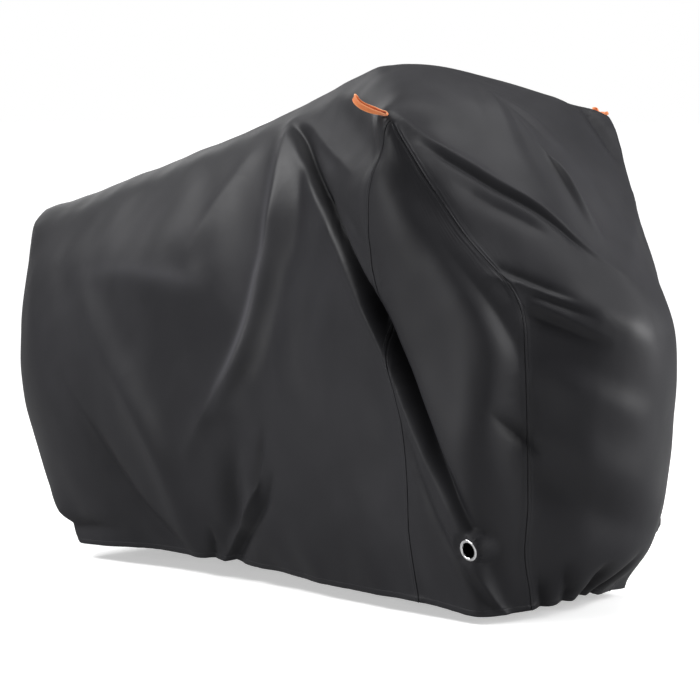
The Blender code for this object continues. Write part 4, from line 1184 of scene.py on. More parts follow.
@dataclass
class LockEyelet:
    """Pressed metal ring that a lock passes through."""

    drape: Drape
    side: Side
    round_at: float = .4110
    up_at: float = .1115
    facing: Triple = (-.045, -.960, -.230)
    cut: float = .0184
    flat: float = .0258
    free: float = .043
    cleared: float = 1.12
    pucker: float = .0007
    puckers: float = 9.0
    pucker_turn: float = 1.4
    steps: int = 72
    section: Tuple[Pair, ...] = (
        (.01804, .00062), (.02186, .00064), (.02288, .00066), (.02325, .00082), (.02342, .00110), (.02345, .00140),
        (.02331, .00176), (.02297, .00210), (.02241, .00238), (.02167, .00262), (.02083, .00275), (.01999, .00277),
        (.01916, .00266), (.01841, .00243), (.01776, .00208), (.01722, .00160), (.01691, .00105), (.01674, .00045))

    def place(self) -> Tuple[Array, Array, Array, Array]:
        """Where the ring sits.

        Returns:
            Its middle on the cloth, and its three directions, out of the cloth last.
        """
        middle = self.drape.spot(self.side, self.round_at, self.up_at)
        out = unit(np.array(self.facing) * (1.0, -self.side.value, 1.0))
        along = unit(np.cross((0.0, 0.0, 1.0), out))
        return middle, along, np.cross(out, along), out

    def open_cloth(self, panel: Panel) -> None:
        """Opens a round hole with a flat edge in the panel that the ring is set in.

        Args:
            panel: The gusset's panel, whose points and cells are changed.
        """
        middle, along, rising, out = self.place()
        points = panel.points
        away = points - middle
        flat = np.linalg.norm(away - (away @ out)[:, None] * out, axis=1)
        ease = np.clip((self.free - flat) / (self.free - self.flat), 0.0, 1.0)
        ease = ease * ease * (3.0 - 2.0 * ease)
        turn_at = np.arctan2(away @ rising, away @ along)
        pucker = self.pucker * np.sin(turn_at * self.puckers + self.pucker_turn) * ease * (1.0 - ease) * 4.0
        points = points - (ease * (away @ out) - pucker)[:, None] * out
        dropped = set(np.flatnonzero(flat < self.flat * self.cleared).tolist())
        kept = [cell for cell in panel.cells if not dropped & set(cell)]
        loose = [cell for cell in panel.cells if dropped & set(cell)]
        pairs = {(a, b) for cell in loose for a, b in zip(cell, cell[1:] + cell[:1])}
        border = {a: b for a, b in pairs if (b, a) not in pairs}
        loop = [next(iter(border))]
        while border[loop[-1]] != loop[0]:
            loop.append(border[loop[-1]])
        turn = np.arange(self.steps) / self.steps * 2.0 * math.pi
        rings: List[List[int]] = []
        girth, tall = self.drape.form.girth, float(self.drape.form.height(np.array([self.round_at]))[0])
        for radius in (self.flat, (self.flat + self.cut) / 2.0, self.cut):
            ring = middle + radius * (np.cos(turn)[:, None] * along + np.sin(turn)[:, None] * rising)
            points = np.concatenate([points, ring])
            rings.append([panel.add(self.side is Side.LEFT, self.round_at + radius * math.cos(t) / girth,
                                    self.up_at + radius * math.sin(t) / tall) for t in turn])
        angle = np.array([math.atan2((points[n] - middle) @ rising, (points[n] - middle) @ along) for n in loop])
        start = int(np.argmin(np.mod(angle, 2.0 * math.pi)))
        loop = loop[start:] + loop[:start]
        angle = np.mod(np.roll(angle, -start), 2.0 * math.pi)
        kept += rings_joined(loop, angle, rings[0], turn)
        for wide, tight in zip(rings, rings[1:]):
            for n in range(self.steps):
                m = (n + 1) % self.steps
                kept.append([wide[n], wide[m], tight[m], tight[n]])
        panel.points, panel.cells = points, kept

    def build(self) -> Object:
        """Turns the ring's section, from its channel over the flange to the hole and back behind the cloth.

        Returns:
            The ring.
        """
        middle, along, rising, out = self.place()
        middle = middle - out * self.drape.thickness / 2.0
        section = [(radius, height) for radius, height in self.section]
        section += [(radius, -height) for radius, height in self.section[::-1]]
        points = []
        for step in range(self.steps):
            turn = 2.0 * math.pi * step / self.steps
            spoke = math.cos(turn) * along + math.sin(turn) * rising
            points += [middle + radius * spoke + height * out for radius, height in section]
        faces = ring_faces(self.steps, len(section))
        return flat_mesh(f"lock_eyelet_{self.side.word}", np.array(points), faces, self.drape.mount)


@dataclass
class SideGusset:
    """Tall pointed piece let into a flank between two seams, its edges lapped under the body."""

    drape: Drape
    side: Side
    eyelet: LockEyelet
    tuck: float = .0016
    tuck_at: float = .0011
    tuck_ease: float = .00035
    last_rows: Pair = (-.004, .002)
    point_width: float = .004
    edge_room: float = 1.35
    columns: int = 34
    edge: Tuple[float, ...] = (-.0035, -.0018, 0.0, .0008, .0018, .0032, .0050, .0075, .0110, .0160)

    def cut(self, body: CoverBody) -> Panel:
        """Lays out the net of the gusset.

        Args:
            body: The body, whose rows the gusset follows.

        Returns:
            The panel.
        """
        drape, left = self.drape, self.side is Side.LEFT
        rows = [row for row in body.rows() if row < 1.0 + drape.tip_up - 1e-9]
        rows += [1.0 + drape.tip_up + past for past in self.last_rows]
        girth, panel = drape.form.girth, Panel(f"gusset_cloth_{self.side.word}")
        for row in rows:
            up = min(body.nominal(row), drape.tip_up)
            rear, front = drape.seam_share(REAR_SEAM, up) * girth, drape.seam_share(FRONT_SEAM, up) * girth
            scale = min(1.0, (front - rear + self.point_width) / 2.0 / (self.edge[-1] * self.edge_room))
            beside = np.array([e if e <= 0.0 else e * scale for e in self.edge])
            inside = np.linspace(rear + beside[-1], front - beside[-1], self.columns + 1)[1:-1]
            line = np.concatenate([rear + beside, inside, front - beside[::-1]])
            off = np.minimum(line - rear, front - line)
            depth = welt_lift(off, self.tuck, self.tuck_at, self.tuck_ease)
            near = line / girth
            ups = drape.up_at(self.side.share(near), row)
            for values in zip(near, ups, depth):
                panel.add(left, *(float(value) for value in values))
        across = len(line)
        for row in range(len(rows) - 1):
            for column in range(across - 1):
                here = row * across + column
                ring = [here, here + 1, here + across + 1, here + across]
                panel.cells.append(ring[::-1] if left else ring)
                panel.cell_left.append(left)
        start = rows.index(drape.hem.band) * across
        panel.lines[f"hem_gusset_{self.side.word}"] = [start + c for c in range(2, across - 2)]
        panel.refine(drape)
        return panel

    def build(self, body: CoverBody) -> Tuple[Object, Panel]:
        """Builds the closed sheet with its eyelet hole.

        Args:
            body: The body that it is sewn to.

        Returns:
            The object, and the panel with its points laid.
        """
        panel = self.cut(body)
        curves = [self.drape.seam_curve(self.side, table) for table in (REAR_SEAM, FRONT_SEAM)]
        self.drape.lay(panel, curves, self.drape.seam.welt * .5)
        self.eyelet.open_cloth(panel)
        return sheet_mesh(self.drape, panel), panel


@dataclass
class HangLoop:
    """Loop of woven tape sewn into the corner where the gusset's seams meet."""

    drape: Drape
    side: Side
    width: float = .012
    thick: float = .0015
    steps: int = 168
    sewn_at: Pair = (.3605, .698)
    off: float = .0058
    heading: Dict[Side, Triple] = field(default_factory=lambda: {Side.RIGHT: (-.86, -.36, .215),
                                                                 Side.LEFT: (-.80, .50, -.12)})
    # Reach along the loop, rise off its line, gap between its legs, and twist in degrees.
    axis: Tuple[Tuple[float, float, float, float], ...] = (
        (.0010, 0.0, .0030, 70.0), (.0140, 0.0, .0055, 55.0), (.0300, .0005, .0095, 35.0),
        (.0480, .0020, .0130, 18.0), (.0640, .0060, .0140, 8.0), (.0750, .0120, .0110, 4.0),
        (.0795, .0180, .0050, 0.0))
    # Half of the tape's section from its middle to its edge: share of the width, share of the thickness.
    half: Tuple[Pair, ...] = ((0.0, .86), (.30, .90), (.62, .96), (.82, 1.0), (.93, .92), (.985, .55), (1.0, 0.0))

    def frames(self) -> Tuple[Array, Array, Array]:
        """Lays out the tape's path.

        Returns:
            Middle, tangent and width direction at each step of the tape.
        """
        root = self.drape.spot(self.side, *self.sewn_at, self.off)
        forward = unit(self.heading[self.side])
        level = unit(np.cross(forward, (0.0, 0.0, 1.0)) * -self.side.value)
        lift = np.cross(level, forward) * -self.side.value
        going, coming = [], []
        for reach, rise, gap, twist in self.axis:
            turn = math.radians(twist)
            apart = math.cos(turn) * level + math.sin(turn) * lift
            wide = -math.sin(turn) * level + math.cos(turn) * lift
            middle = root + reach * forward + rise * lift
            going.append(np.concatenate([middle + apart * gap / 2.0, wide]))
            coming.append(np.concatenate([middle - apart * gap / 2.0, wide]))
        ring = np.array(going + coming[::-1])
        knots = run_along(np.concatenate([ring[:, :3], ring[:1, :3]]))
        at = np.concatenate([knots[:-1] - knots[-1], knots[:-1], knots[:-1] + knots[-1]])
        where = np.arange(self.steps) / self.steps * knots[-1]
        rows = smooth_at(at, np.concatenate([ring, ring, ring]), where)
        middles = rows[:, :3]
        return middles, np.roll(middles, -1, axis=0) - np.roll(middles, 1, axis=0), rows[:, 3:]

    def section(self) -> List[Pair]:
        """Whole section of the tape.

        Returns:
            Points as (across, through) in metres, counter-clockwise.
        """
        upper = [(a * self.width / 2.0, b * self.thick / 2.0) for a, b in self.half]
        right = upper + [(a, -b) for a, b in upper[-2::-1]]
        return right + [(-a, b) for a, b in right[-2:0:-1]]

    def build(self) -> Object:
        """Sweeps the tape's section along its frames.

        Returns:
            The loop.
        """
        middles, tangents, wides = self.frames()
        section = self.section()
        points, uv = [], []
        for middle, tangent, wide, run in zip(middles, tangents, wides, run_along(middles)):
            tangent = unit(tangent)
            wide = unit(wide - (wide @ tangent) * tangent)
            through = np.cross(tangent, wide)
            points += [middle + a * wide + b * through for a, b in section]
            uv += [(a, run) for a, _b in section]
        item = flat_mesh(f"hang_loop_{self.side.word}", np.array(points), ring_faces(self.steps, len(section)),
                         self.drape.mount)
        if signed_volume(item.data) < 0.0:
            item.data.flip_normals()
        lay_map(item, "Tape", np.array(uv))
        return item


def signed_volume(mesh: Mesh) -> float:
    """Volume inside a mesh.

    Args:
        mesh: A closed mesh.

    Returns:
        Cubic metres, negative where its faces point inwards.
    """
    mesh.calc_loop_triangles()
    spots = np.empty(len(mesh.vertices) * 3)
    mesh.vertices.foreach_get("co", spots)
    corner = np.empty(len(mesh.loop_triangles) * 3, dtype=np.int32)
    mesh.loop_triangles.foreach_get("vertices", corner)
    a, b, c = np.moveaxis(spots.reshape(-1, 3)[corner.reshape(-1, 3)], 1, 0)
    return float((a * np.cross(b, c)).sum() / 6.0)


# ---------------------------------------------------------------- nodes
def feed(tree: NodeTree, item: Node, inputs: Dict[Union[str, int], object]) -> None:
    """Sets or links a node's inputs.

    Args:
        tree: Tree that the node is in.
        item: The node.
        inputs: Number, colour or output socket for each input, by the input's name or place.
    """
    for name, value in inputs.items():
        if isinstance(value, NodeSocket):
            tree.links.new(value, item.inputs[name])
        else:
            item.inputs[name].default_value = value


def add_node(tree: NodeTree, kind: str, inputs: Optional[Dict[Union[str, int], object]] = None,
             **settings: object) -> Node:
    """Adds a node to a tree.

    Args:
        tree: Tree to add it to.
        kind: Kind of node.
        inputs: Number, colour or output socket for each input.
        settings: Values of the node's own settings.

    Returns:
        The node.
    """
    item = tree.nodes.new(kind)
    for name, value in settings.items():
        setattr(item, name, value)
    feed(tree, item, inputs or {})
    return item


def math_node(tree: NodeTree, operation: str, *values: object) -> NodeSocket:
    """Output of a Math node whose inputs are numbers or output sockets."""
    return add_node(tree, "ShaderNodeMath", dict(enumerate(values)), operation=operation).outputs[0]


def start_group(name: str, kind: str, inputs: Sequence[Tuple[str, str, object]],
                outputs: Sequence[Tuple[str, str]]) -> Tuple[NodeTree, NodeInputs, Node]:
    """Starts a node group.

    Args:
        name: Name of the group.
        kind: Kind of tree.
        inputs: Name, kind and default of each input.
        outputs: Name and kind of each output.

    Returns:
        The group, the output sockets of its input node, and its output node.
    """
    tree = bpy.data.node_groups.new(name, kind)
    for label, what, value in inputs:
        socket = tree.interface.new_socket(label, in_out="INPUT", socket_type=f"NodeSocket{what}")
        if value is not None:
            socket.default_value = value
    for label, what in outputs:
        tree.interface.new_socket(label, in_out="OUTPUT", socket_type=f"NodeSocket{what}")
    return tree, tree.nodes.new("NodeGroupInput").outputs, tree.nodes.new("NodeGroupOutput")


# ---------------------------------------------------------------- thread
@dataclass
class StitchRow:
    """Row of lock stitches along a line on the cloth, laid by Geometry Nodes."""

    name: str
    lines: List[Array]
    mount: Triple
    pitch: float = .0042
    length: float = .0033
    radius: float = .00042
    lean: float = .10
    seed: int = 5
    sides: int = 6
    rings: int = 4

    def tree(self, material: Material) -> NodeTree:
        """Builds the node tree that sets one stitch at each step of the line.

        Args:
            material: Finish of the thread.

        Returns:
            The tree.
        """
        tree, given, result = start_group(f"{self.name}_tree", "GeometryNodeTree", (
            ("Line", "Geometry", None), ("Pitch", "Float", self.pitch), ("Length", "Float", self.length),
            ("Radius", "Float", self.radius), ("Lean", "Float", self.lean), ("Seed", "Int", self.seed)),
            (("Stitches", "Geometry"),))
        curve = add_node(tree, "GeometryNodeMeshToCurve", {"Mesh": given["Line"]})
        spaced = add_node(tree, "GeometryNodeResampleCurve", {"Curve": curve.outputs["Curve"],
                                                              "Length": given["Pitch"]}, mode="LENGTH")
        dots = add_node(tree, "GeometryNodeCurveToPoints", {"Curve": spaced.outputs["Curve"]}, mode="EVALUATED")
        ball = add_node(tree, "GeometryNodeMeshUVSphere", {"Segments": self.sides, "Rings": self.rings,
                                                           "Radius": 1.0})
        size = add_node(tree, "ShaderNodeCombineXYZ", {"X": given["Radius"], "Y": given["Radius"],
                                                       "Z": math_node(tree, "MULTIPLY", given["Length"], .5)})
        shaped = add_node(tree, "GeometryNodeTransform", {"Geometry": ball.outputs["Mesh"],
                                                          "Scale": size.outputs[0]})
        chance = add_node(tree, "FunctionNodeRandomValue", {"Min": math_node(tree, "MULTIPLY", given["Lean"], -1.0),
                                                            "Max": given["Lean"], "Seed": given["Seed"]},
                          data_type="FLOAT_VECTOR")
        tilt = add_node(tree, "FunctionNodeEulerToRotation", {"Euler": chance.outputs["Value"]})
        turn = add_node(tree, "FunctionNodeRotateRotation", {"Rotation": dots.outputs["Rotation"],
                                                             "Rotate By": tilt.outputs["Rotation"]},
                        rotation_space="LOCAL")
        placed = add_node(tree, "GeometryNodeInstanceOnPoints", {"Points": dots.outputs["Points"],
                                                                 "Instance": shaped.outputs["Geometry"],
                                                                 "Rotation": turn.outputs["Rotation"]})
        real = add_node(tree, "GeometryNodeRealizeInstances", {"Geometry": placed.outputs["Instances"]})
        smooth = add_node(tree, "GeometryNodeSetShadeSmooth", {0: real.outputs["Geometry"]})
        finish = add_node(tree, "GeometryNodeSetMaterial", {"Geometry": smooth.outputs[0], "Material": material})
        feed(tree, result, {"Stitches": finish.outputs["Geometry"]})
        return tree

    def build(self, material: Material) -> Object:
        """Lays the row and makes it a plain mesh.

        Args:
            material: Finish of the thread.

        Returns:
            The stitches as one piece.
        """
        points, edges = [], []
        for line in self.lines:
            start = len(points)
            points += (np.asarray(line) - np.array(self.mount)).tolist()
            edges += [(n, n + 1) for n in range(start, len(points) - 1)]
        mesh = bpy.data.meshes.new(f"{self.name}_line")
        mesh.from_pydata(points, edges, [])
        guide = new_object(f"{self.name}_line", mesh)
        tree = self.tree(material)
        modifier = guide.modifiers.new("Stitches", "NODES")
        modifier.node_group = tree
        sizes = {"Pitch": self.pitch, "Length": self.length, "Radius": self.radius, "Lean": self.lean,
                 "Seed": self.seed}
        for socket in tree.interface.items_tree:
            if socket.in_out == "INPUT" and socket.name in sizes:
                modifier[socket.identifier] = sizes[socket.name]
        bpy.context.view_layer.update()
        evaluated = guide.evaluated_get(bpy.context.evaluated_depsgraph_get())
        plain = bpy.data.meshes.new_from_object(evaluated)
        plain.name = self.name
        guide.modifiers.remove(modifier)
        item = new_object(self.name, plain)
        bpy.data.objects.remove(guide, do_unlink=True)
        if not plain.materials:
            plain.materials.append(material)
        return item


# ---------------------------------------------------------------- finishes
THREADS = 1800.0  # to the metre, where a material gives none


def plain_weave() -> NodeTree:
    """Group for threads that pass over and under each other.

    Returns:
        A group from a map in metres and threads a metre to the weave's height.
    """
    tree, given, result = start_group("Plain weave", "ShaderNodeTree", (
        ("Map", "Vector", None), ("Across", "Float", THREADS), ("Along", "Float", THREADS)), (("Height", "Float"),))
    split = add_node(tree, "ShaderNodeSeparateXYZ", {0: given["Map"]}).outputs
    threads = [math_node(tree, "MULTIPLY", split[axis], given[way]) for axis, way in (("X", "Across"), ("Y", "Along"))]
    warp, weft = (math_node(tree, "ABSOLUTE", math_node(tree, "SINE", math_node(tree, "MULTIPLY", way, math.pi)))
                  for way in threads)
    count = math_node(tree, "ADD", *(math_node(tree, "FLOOR", way) for way in threads))
    over = math_node(tree, "ABSOLUTE", math_node(tree, "MODULO", count, 2.0))
    under = math_node(tree, "SUBTRACT", 1.0, over)
    feed(tree, result, {"Height": math_node(tree, "ADD", math_node(tree, "MULTIPLY", warp, over),
                                            math_node(tree, "MULTIPLY", weft, under))})
    return tree


@dataclass(frozen=True)
class Layer:
    """Layer of noise in the handled cloth."""

    name: str
    scale: float
    detail: float
    rough: float
    skew: float


HANDLING = (Layer("Mottle", scale=3.1, detail=4.0, rough=.55, skew=.6),
            Layer("Crease", scale=15.0, detail=3.0, rough=.5, skew=1.1),
            Layer("Grain", scale=210.0, detail=2.0, rough=.5, skew=0.0))


def handled_cloth() -> NodeTree:
    """Group for the soft mottling and faint creasing that handling leaves.

    Returns:
        A group from a position to a mottle value, a crease height and a grain.
    """
    tree, given, result = start_group("Handled cloth", "ShaderNodeTree", (("Place", "Vector", None),),
                                      (("Mottle", "Float"), ("Crease", "Float"), ("Grain", "Float")))
    for layer in HANDLING:
        noise = add_node(tree, "ShaderNodeTexNoise", {
            "Vector": given["Place"], "Scale": layer.scale, "Detail": layer.detail, "Roughness": layer.rough,
            "Distortion": layer.skew})
        feed(tree, result, {layer.name: noise.outputs["Fac"]})
    return tree


def new_material(name: str) -> Tuple[Material, NodeTree, Node]:
    """Starts a material.

    Args:
        name: Its name.

    Returns:
        The material, its tree and its Principled node.
    """
    material = bpy.data.materials.new(name)
    material.use_nodes = True
    return material, material.node_tree, material.node_tree.nodes["Principled BSDF"]


def mixed(tree: NodeTree, share: NodeSocket, first: object, second: object) -> NodeSocket:
    """Output of a Mix node between two colours."""
    return add_node(tree, "ShaderNodeMix", {"Factor": share, "A": first, "B": second},
                    data_type="RGBA").outputs["Result"]


def ranged(tree: NodeTree, value: NodeSocket, low: float, high: float, to_low: float = 0.0,
           to_high: float = 1.0) -> NodeSocket:
    """Output of a Map Range node."""
    return add_node(tree, "ShaderNodeMapRange", {"Value": value, "From Min": low, "From Max": high,
                                                 "To Min": to_low, "To Max": to_high}).outputs["Result"]


def raised(tree: NodeTree, height: NodeSocket, strength: float, distance: float,
           normal: Optional[NodeSocket] = None) -> NodeSocket:
    """Adds a Bump node.

    Args:
        tree: The material's tree.
        height: The height that it reads.
        strength: How strongly it shows.
        distance: Metres from the lowest height to the highest.
        normal: Another normal that it is laid over, or None.

    Returns:
        The normal.
    """
    item = add_node(tree, "ShaderNodeBump", {"Height": height, "Strength": strength, "Distance": distance})
    feed(tree, item, {"Normal": normal} if normal else {})
    return item.outputs["Normal"]


def woven(tree: NodeTree, weave: NodeTree, flat: NodeSocket, across: float, along: float) -> NodeSocket:
    """Height of a weave of so many threads a metre, laid on a map."""
    return add_node(tree, "ShaderNodeGroup", {"Map": flat, "Across": across, "Along": along},
                    node_tree=weave).outputs["Height"]


@dataclass(frozen=True)
class CoatedCloth:
    """Finish of proofed polyester: dark, satin, with a fine weave under its coating, darkened in fold valleys as
    painted shade and paler along chosen creases as painted highlight.
    """

    name: str
    deep: Colour
    worn: Colour
    rough_low: float
    rough_high: float
    threads: float = 1700.0
    threads_ratio: float = .92
    specular: float = .26
    weave_depth: float = .00006
    weave_strength: float = .22
    crease_depth: float = .0009
    crease_strength: float = .35
    mottle: Pair = (.35, .68)
    satin: Pair = (.3, .7)
    grain: float = .12
    # Near-black colour painted into fold valleys as painted shade, and how strongly it darkens colour and specular
    # there.
    valley: Colour = (.0025, .0025, .0027, 1.0)
    valley_shade_dim: float = .9
    # Paler colour painted along chosen creases as painted highlight.
    crease_highlight: Colour = (.060, .0595, .0660, 1.0)

    def build(self, weave: NodeTree, handled: NodeTree) -> Material:
        """Makes the material.

        Args:
            weave: The shared weave group.
            handled: The shared handling group.

        Returns:
            The material.
        """
        material, tree, shader = new_material(self.name)
        valley, crease_highlight = (add_node(tree, "ShaderNodeAttribute", attribute_name=name).outputs["Fac"]
                          for name in ("Valley", "Worn"))
        flat = add_node(tree, "ShaderNodeUVMap", uv_map="Cloth").outputs["UV"]
        height = woven(tree, weave, flat, self.threads, self.threads * self.threads_ratio)
        place = add_node(tree, "ShaderNodeTexCoord").outputs["Object"]
        marks = add_node(tree, "ShaderNodeGroup", {"Place": place}, node_tree=handled).outputs
        shade = mixed(tree, ranged(tree, marks["Mottle"], *self.mottle), self.deep, self.worn)
        # Painted highlight: paler colour along chosen creases.
        shade = mixed(tree, crease_highlight, shade, self.crease_highlight)
        # Painted shade: near-black colour in fold valleys.
        shade = mixed(tree, math_node(tree, "MULTIPLY", valley, self.valley_shade_dim), shade, self.valley)
        grained = math_node(tree, "MULTIPLY_ADD", marks["Grain"], self.grain, marks["Mottle"])
        creased = raised(tree, marks["Crease"], self.crease_strength, self.crease_depth)
        # Painted shade also lowers the specular level in fold valleys.
        feed(tree, shader, {
            "Metallic": 0.0, "Base Color": shade,
            "Specular IOR Level": math_node(tree, "MULTIPLY_ADD", valley, -self.valley_shade_dim * self.specular,
                                            self.specular),
            "Roughness": ranged(tree, grained, *self.satin, self.rough_low, self.rough_high),
            "Normal": raised(tree, height, self.weave_strength, self.weave_depth, creased)})
        return material


@dataclass(frozen=True)
class WovenTape:
    """Finish of dyed webbing: coarse weave, soft surface, and painted highlight that makes it paler along its edges
    and on the crests of its weave.
    """

    name: str
    body: Colour
    pale: Colour
    across: float
    along: float
    half_width: float
    rough: float = .62
    sheen: Pair = (.35, .45)
    paling: Pair = (.28, .5)
    edge_power: float = 5.0
    edge_ease: float = .05
    weave_strength: float = .8
    weave_depth: float = .0003

    def build(self, weave: NodeTree) -> Material:
        """Makes the material.

        Args:
            weave: The shared weave group.

        Returns:
            The material.
        """
        material, tree, shader = new_material(self.name)
        flat = add_node(tree, "ShaderNodeUVMap", uv_map="Tape").outputs["UV"]
        height = woven(tree, weave, flat, self.across, self.along)
        across = add_node(tree, "ShaderNodeSeparateXYZ", {0: flat}).outputs["X"]
        off = math_node(tree, "MULTIPLY", math_node(tree, "ABSOLUTE", across), 1.0 / self.half_width)
        edge = math_node(tree, "POWER", math_node(tree, "SMOOTH_MIN", off, 1.0, self.edge_ease), self.edge_power)
        # Painted highlight: paler colour on the weave's crests and along the tape's edges.
        lit = math_node(tree, "MULTIPLY_ADD", height, self.paling[0],
                        math_node(tree, "MULTIPLY", edge, self.paling[1]))
        feed(tree, shader, {"Roughness": self.rough, "Sheen Weight": self.sheen[0], "Sheen Roughness": self.sheen[1],
                            "Base Color": mixed(tree, lit, self.body, self.pale),
                            "Normal": raised(tree, height, self.weave_strength, self.weave_depth)})
        return material


@dataclass(frozen=True)
class PlatedMetal:
    """Finish of a bright plated pressing: faint ripple and a few dull marks."""

    name: str
    colour: Colour
    rough_low: float
    rough_high: float
    ripple: float = 140.0
    ripple_strength: float = .12
    ripple_depth: float = .0002
    dull: Pair = (.4, .75)

    def build(self) -> Material:
        """Makes the material.

        Returns:
            The material.
        """
        material, tree, shader = new_material(self.name)
        place = add_node(tree, "ShaderNodeTexCoord").outputs["Object"]
        noise = add_node(tree, "ShaderNodeTexNoise", {"Vector": place, "Scale": self.ripple,
                                                      "Detail": 3.0}).outputs["Fac"]
        feed(tree, shader, {"Base Color": self.colour, "Metallic": 1.0,
                            "Roughness": ranged(tree, noise, *self.dull, self.rough_low, self.rough_high),
                            "Normal": raised(tree, noise, self.ripple_strength, self.ripple_depth)})
        return material


@dataclass(frozen=True)
class SewingThread:
    """Finish of bonded thread: matt, with its twist showing."""

    name: str
    colour: Colour
    rough: float = .55
    twist: float = 900.0
    twist_wander: float = .6
    twist_strength: float = .5
    twist_depth: float = .0001

    def build(self) -> Material:
        """Makes the material.

        Returns:
            The material.
        """
        material, tree, shader = new_material(self.name)
        place = add_node(tree, "ShaderNodeTexCoord").outputs["Object"]
        twist = add_node(tree, "ShaderNodeTexWave", {"Vector": place, "Scale": self.twist,
                                                     "Distortion": self.twist_wander}, bands_direction="DIAGONAL")
        feed(tree, shader, {"Base Color": self.colour, "Roughness": self.rough,
                            "Normal": raised(tree, twist.outputs["Fac"], self.twist_strength, self.twist_depth)})
        return material


# ---------------------------------------------------------------- studio
def aimed(item: Object, place: Triple, aim: Triple) -> None:
    """Puts a lamp or camera at a place, looking at a point."""
    item.location = place
    item.rotation_euler = (Vector(aim) - Vector(place)).to_track_quat("-Z", "Y").to_euler()


@dataclass(frozen=True)
class SoftLight:
    """Square area light at a place, aimed at a point."""

    name: str
    place: Triple
    aim: Triple
    size: Pair
    power: float


@dataclass
class Studio:
    """Pale floor, soft light and the camera."""

    ground: float = -1.1575
    floor_half: float = 60.0
    floor_glow: float = .46
    floor_seen: Colour = (.86, .86, .86, 1.0)
    floor_bounce: Colour = (.44, .44, .44, 1.0)
    camera_at: Triple = (4.966, -5.440, -.0275)
    camera_aim: Triple = (-.197, 0.0, -.6365)
    lens: float = 172.3
    sensor: float = 36.0
    far_clip: float = 200.0
    sky: float = .21
    sun: float = 2.7
    sun_angle: float = 24.0
    sun_from: Triple = (-2.8, -2.1, 3.5)
    lights: Tuple[SoftLight, ...] = (
        SoftLight("Top light", (.7, .7, 3.0), (.3, 0.0, -.3), (3.0, 2.6), 74.0),
        SoftLight("Side fill", (-1.2, -4.5, -.3), (.35, -.3, -.6), (1.2, 1.4), 66.0),
        SoftLight("Rear strip", (-3.6, 1.6, .9), (-.3, 0.0, -.5), (.9, 3.0), 16.0),
        SoftLight("Front strip", (3.4, 2.2, .7), (.6, 0.0, -.4), (1.8, 2.2), 200.0),
    )

    def floor(self) -> Object:
        """Builds the floor.

        Returns:
            The floor object.
        """
        half, z = self.floor_half, self.ground
        mesh = bpy.data.meshes.new("studio_floor")
        mesh.from_pydata([(-half, -half, z), (half, -half, z), (half, half, z), (-half, half, z)], [],
                         [(0, 1, 2, 3)])
        material, tree, _shader = new_material("Pale floor")
        tree.nodes.clear()
        glow = add_node(tree, "ShaderNodeEmission", {"Strength": self.floor_glow})
        seen, near = (add_node(tree, "ShaderNodeBsdfDiffuse", {"Color": colour})
                      for colour in (self.floor_seen, self.floor_bounce))
        both = add_node(tree, "ShaderNodeAddShader", {0: glow.outputs[0], 1: seen.outputs[0]})
        self.shown(tree, near, both, "ShaderNodeOutputMaterial")
        mesh.materials.append(material)
        return new_object("studio_floor", mesh)

    def shown(self, tree: NodeTree, lit: Node, seen: Node, out: str) -> None:
        """Ends a tree in one shader that the camera sees and another that lights the cover.

        Args:
            tree: The tree.
            lit: Shader that lights the cover.
            seen: Shader that the camera sees.
            out: Kind of the output node.
        """
        path = add_node(tree, "ShaderNodeLightPath")
        pick = add_node(tree, "ShaderNodeMixShader", {0: path.outputs["Is Camera Ray"], 1: lit.outputs[0],
                                                      2: seen.outputs[0]})
        add_node(tree, out, {"Surface": pick.outputs[0]})

    def world(self) -> None:
        """Sets a white surround that lights the cover less than it shows."""
        world = bpy.data.worlds.new("Studio surround")
        bpy.context.scene.world = world
        world.use_nodes = True
        world.node_tree.nodes.clear()
        lit, seen = (add_node(world.node_tree, "ShaderNodeBackground", {"Strength": strength, "Color": (1.0,) * 4})
                     for strength in (self.sky, 1.0))
        self.shown(world.node_tree, lit, seen, "ShaderNodeOutputWorld")

    def lamps(self) -> None:
        """Hangs the sun and the area lights."""
        sun = bpy.data.lights.new("Soft sun", "SUN")
        sun.energy, sun.angle = self.sun, math.radians(self.sun_angle)
        aimed(new_object("Soft sun", sun), self.sun_from, (0.0, 0.0, 0.0))
        for light in self.lights:
            lamp = bpy.data.lights.new(light.name, "AREA")
            lamp.shape = "RECTANGLE"
            lamp.size, lamp.size_y = light.size
            lamp.energy = light.power
            aimed(new_object(light.name, lamp), light.place, light.aim)

    def camera(self) -> None:
        """Sets up the camera."""
        lens = bpy.data.cameras.new("Studio camera")
        lens.lens, lens.sensor_width, lens.clip_end = self.lens, self.sensor, self.far_clip
        item = new_object("Studio camera", lens)
        aimed(item, self.camera_at, self.camera_aim)
        bpy.context.scene.camera = item

    def build(self) -> None:
        """Builds the studio."""
        self.world()
        self.lamps()
        self.camera()
        self.floor()
        bpy.context.scene.view_settings.view_transform = "Standard"


# ---------------------------------------------------------------- the whole cover
def dress(item: Object, material: Material, node: Optional[str]) -> None:
    """Gives a piece its finish and its place in the frame.

    Args:
        item: The piece.
        material: Its finish.
        node: CAD node that it stands for, if any.
    """
    if not item.data.materials:
        item.data.materials.append(material)
    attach(item, "root")
    if node:
        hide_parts(node)
    item.data.calc_loop_triangles()
    LOG.info("%s: %d triangles", item.name, len(item.data.loop_triangles))


BODY_FLAT: Pair = (2.35, 2.10)
BODY_AREA = 4.15
GUSSET_FLAT: Pair = (.30, 1.02)
GUSSET_AREA = .27


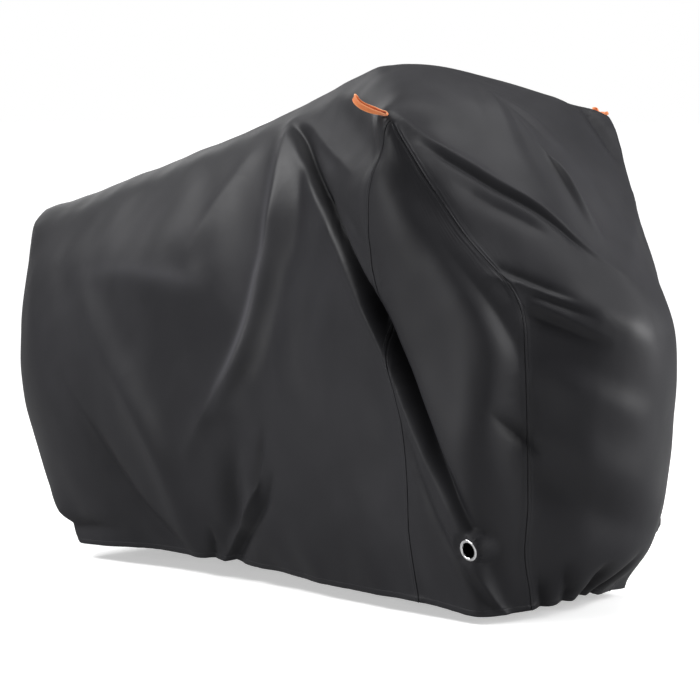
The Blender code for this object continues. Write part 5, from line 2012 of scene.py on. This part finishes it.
def main() -> None:
    """Builds the cover piece by piece, then the studio."""
    logging.basicConfig(level=logging.INFO, format="%(name)s: %(message)s")
    weave, handled = plain_weave(), handled_cloth()
    cloth = CoatedCloth("Coated cloth", deep=(.0141, .0140, .0165, 1.0), worn=(.0206, .0204, .0236, 1.0),
                        rough_low=.41, rough_high=.54).build(weave, handled)
    gusset_cloth = CoatedCloth("Coated cloth, gusset", deep=(.0137, .0136, .0160, 1.0),
                               worn=(.0200, .0198, .0228, 1.0), rough_low=.44, rough_high=.58).build(weave, handled)
    metal = PlatedMetal("Bright plating", colour=(.80, .80, .81, 1.0), rough_low=.12, rough_high=.26).build()
    tape = WovenTape("Orange webbing", body=(.80, .17, .03, 1.0), pale=(.95, .50, .22, 1.0), across=900.0,
                     along=620.0, half_width=.006).build(weave)
    thread = SewingThread("Black thread", colour=(.022, .022, .024, 1.0)).build()

    form = DrapedForm()
    drape = Drape(form, FoldBook(form), Slack(), HemBand(), SewnEdge())
    body = CoverBody(drape)
    item, panel = body.build()
    dress(item, cloth, "cover_body")
    hems = [panel.points[ids] for name, ids in panel.lines.items() if name.startswith("hem")]
    seams = [panel.points[ids] for name, ids in panel.lines.items() if name.startswith("seam")]
    sheets = [(item, BODY_FLAT, BODY_AREA, [])]
    for side in Side:
        eyelet = LockEyelet(drape, side)
        gusset, cut = SideGusset(drape, side, eyelet).build(body)
        dress(gusset, gusset_cloth, f"gusset_{side.word}")
        hems += [cut.points[ids] for ids in cut.lines.values()]
        ring = eyelet.build()
        dress(ring, metal, f"eyelet_{side.word}")
        sheets.append((gusset, GUSSET_FLAT, GUSSET_AREA, [ring]))
        loop = HangLoop(drape, side).build()
        dress(loop, tape, f"loop_{side.word}")
    hem_thread = StitchRow("hem_stitches", hems, drape.mount).build(thread)
    seam_thread = StitchRow("seam_stitches", seams, drape.mount).build(thread)
    for row in (hem_thread, seam_thread):
        dress(row, thread, None)
    sheets[0][3].extend([hem_thread, seam_thread])
    for piece, flat, area, carried in sheets:
        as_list(carried)
    Studio().build()


if __name__ == "__main__":
    main()
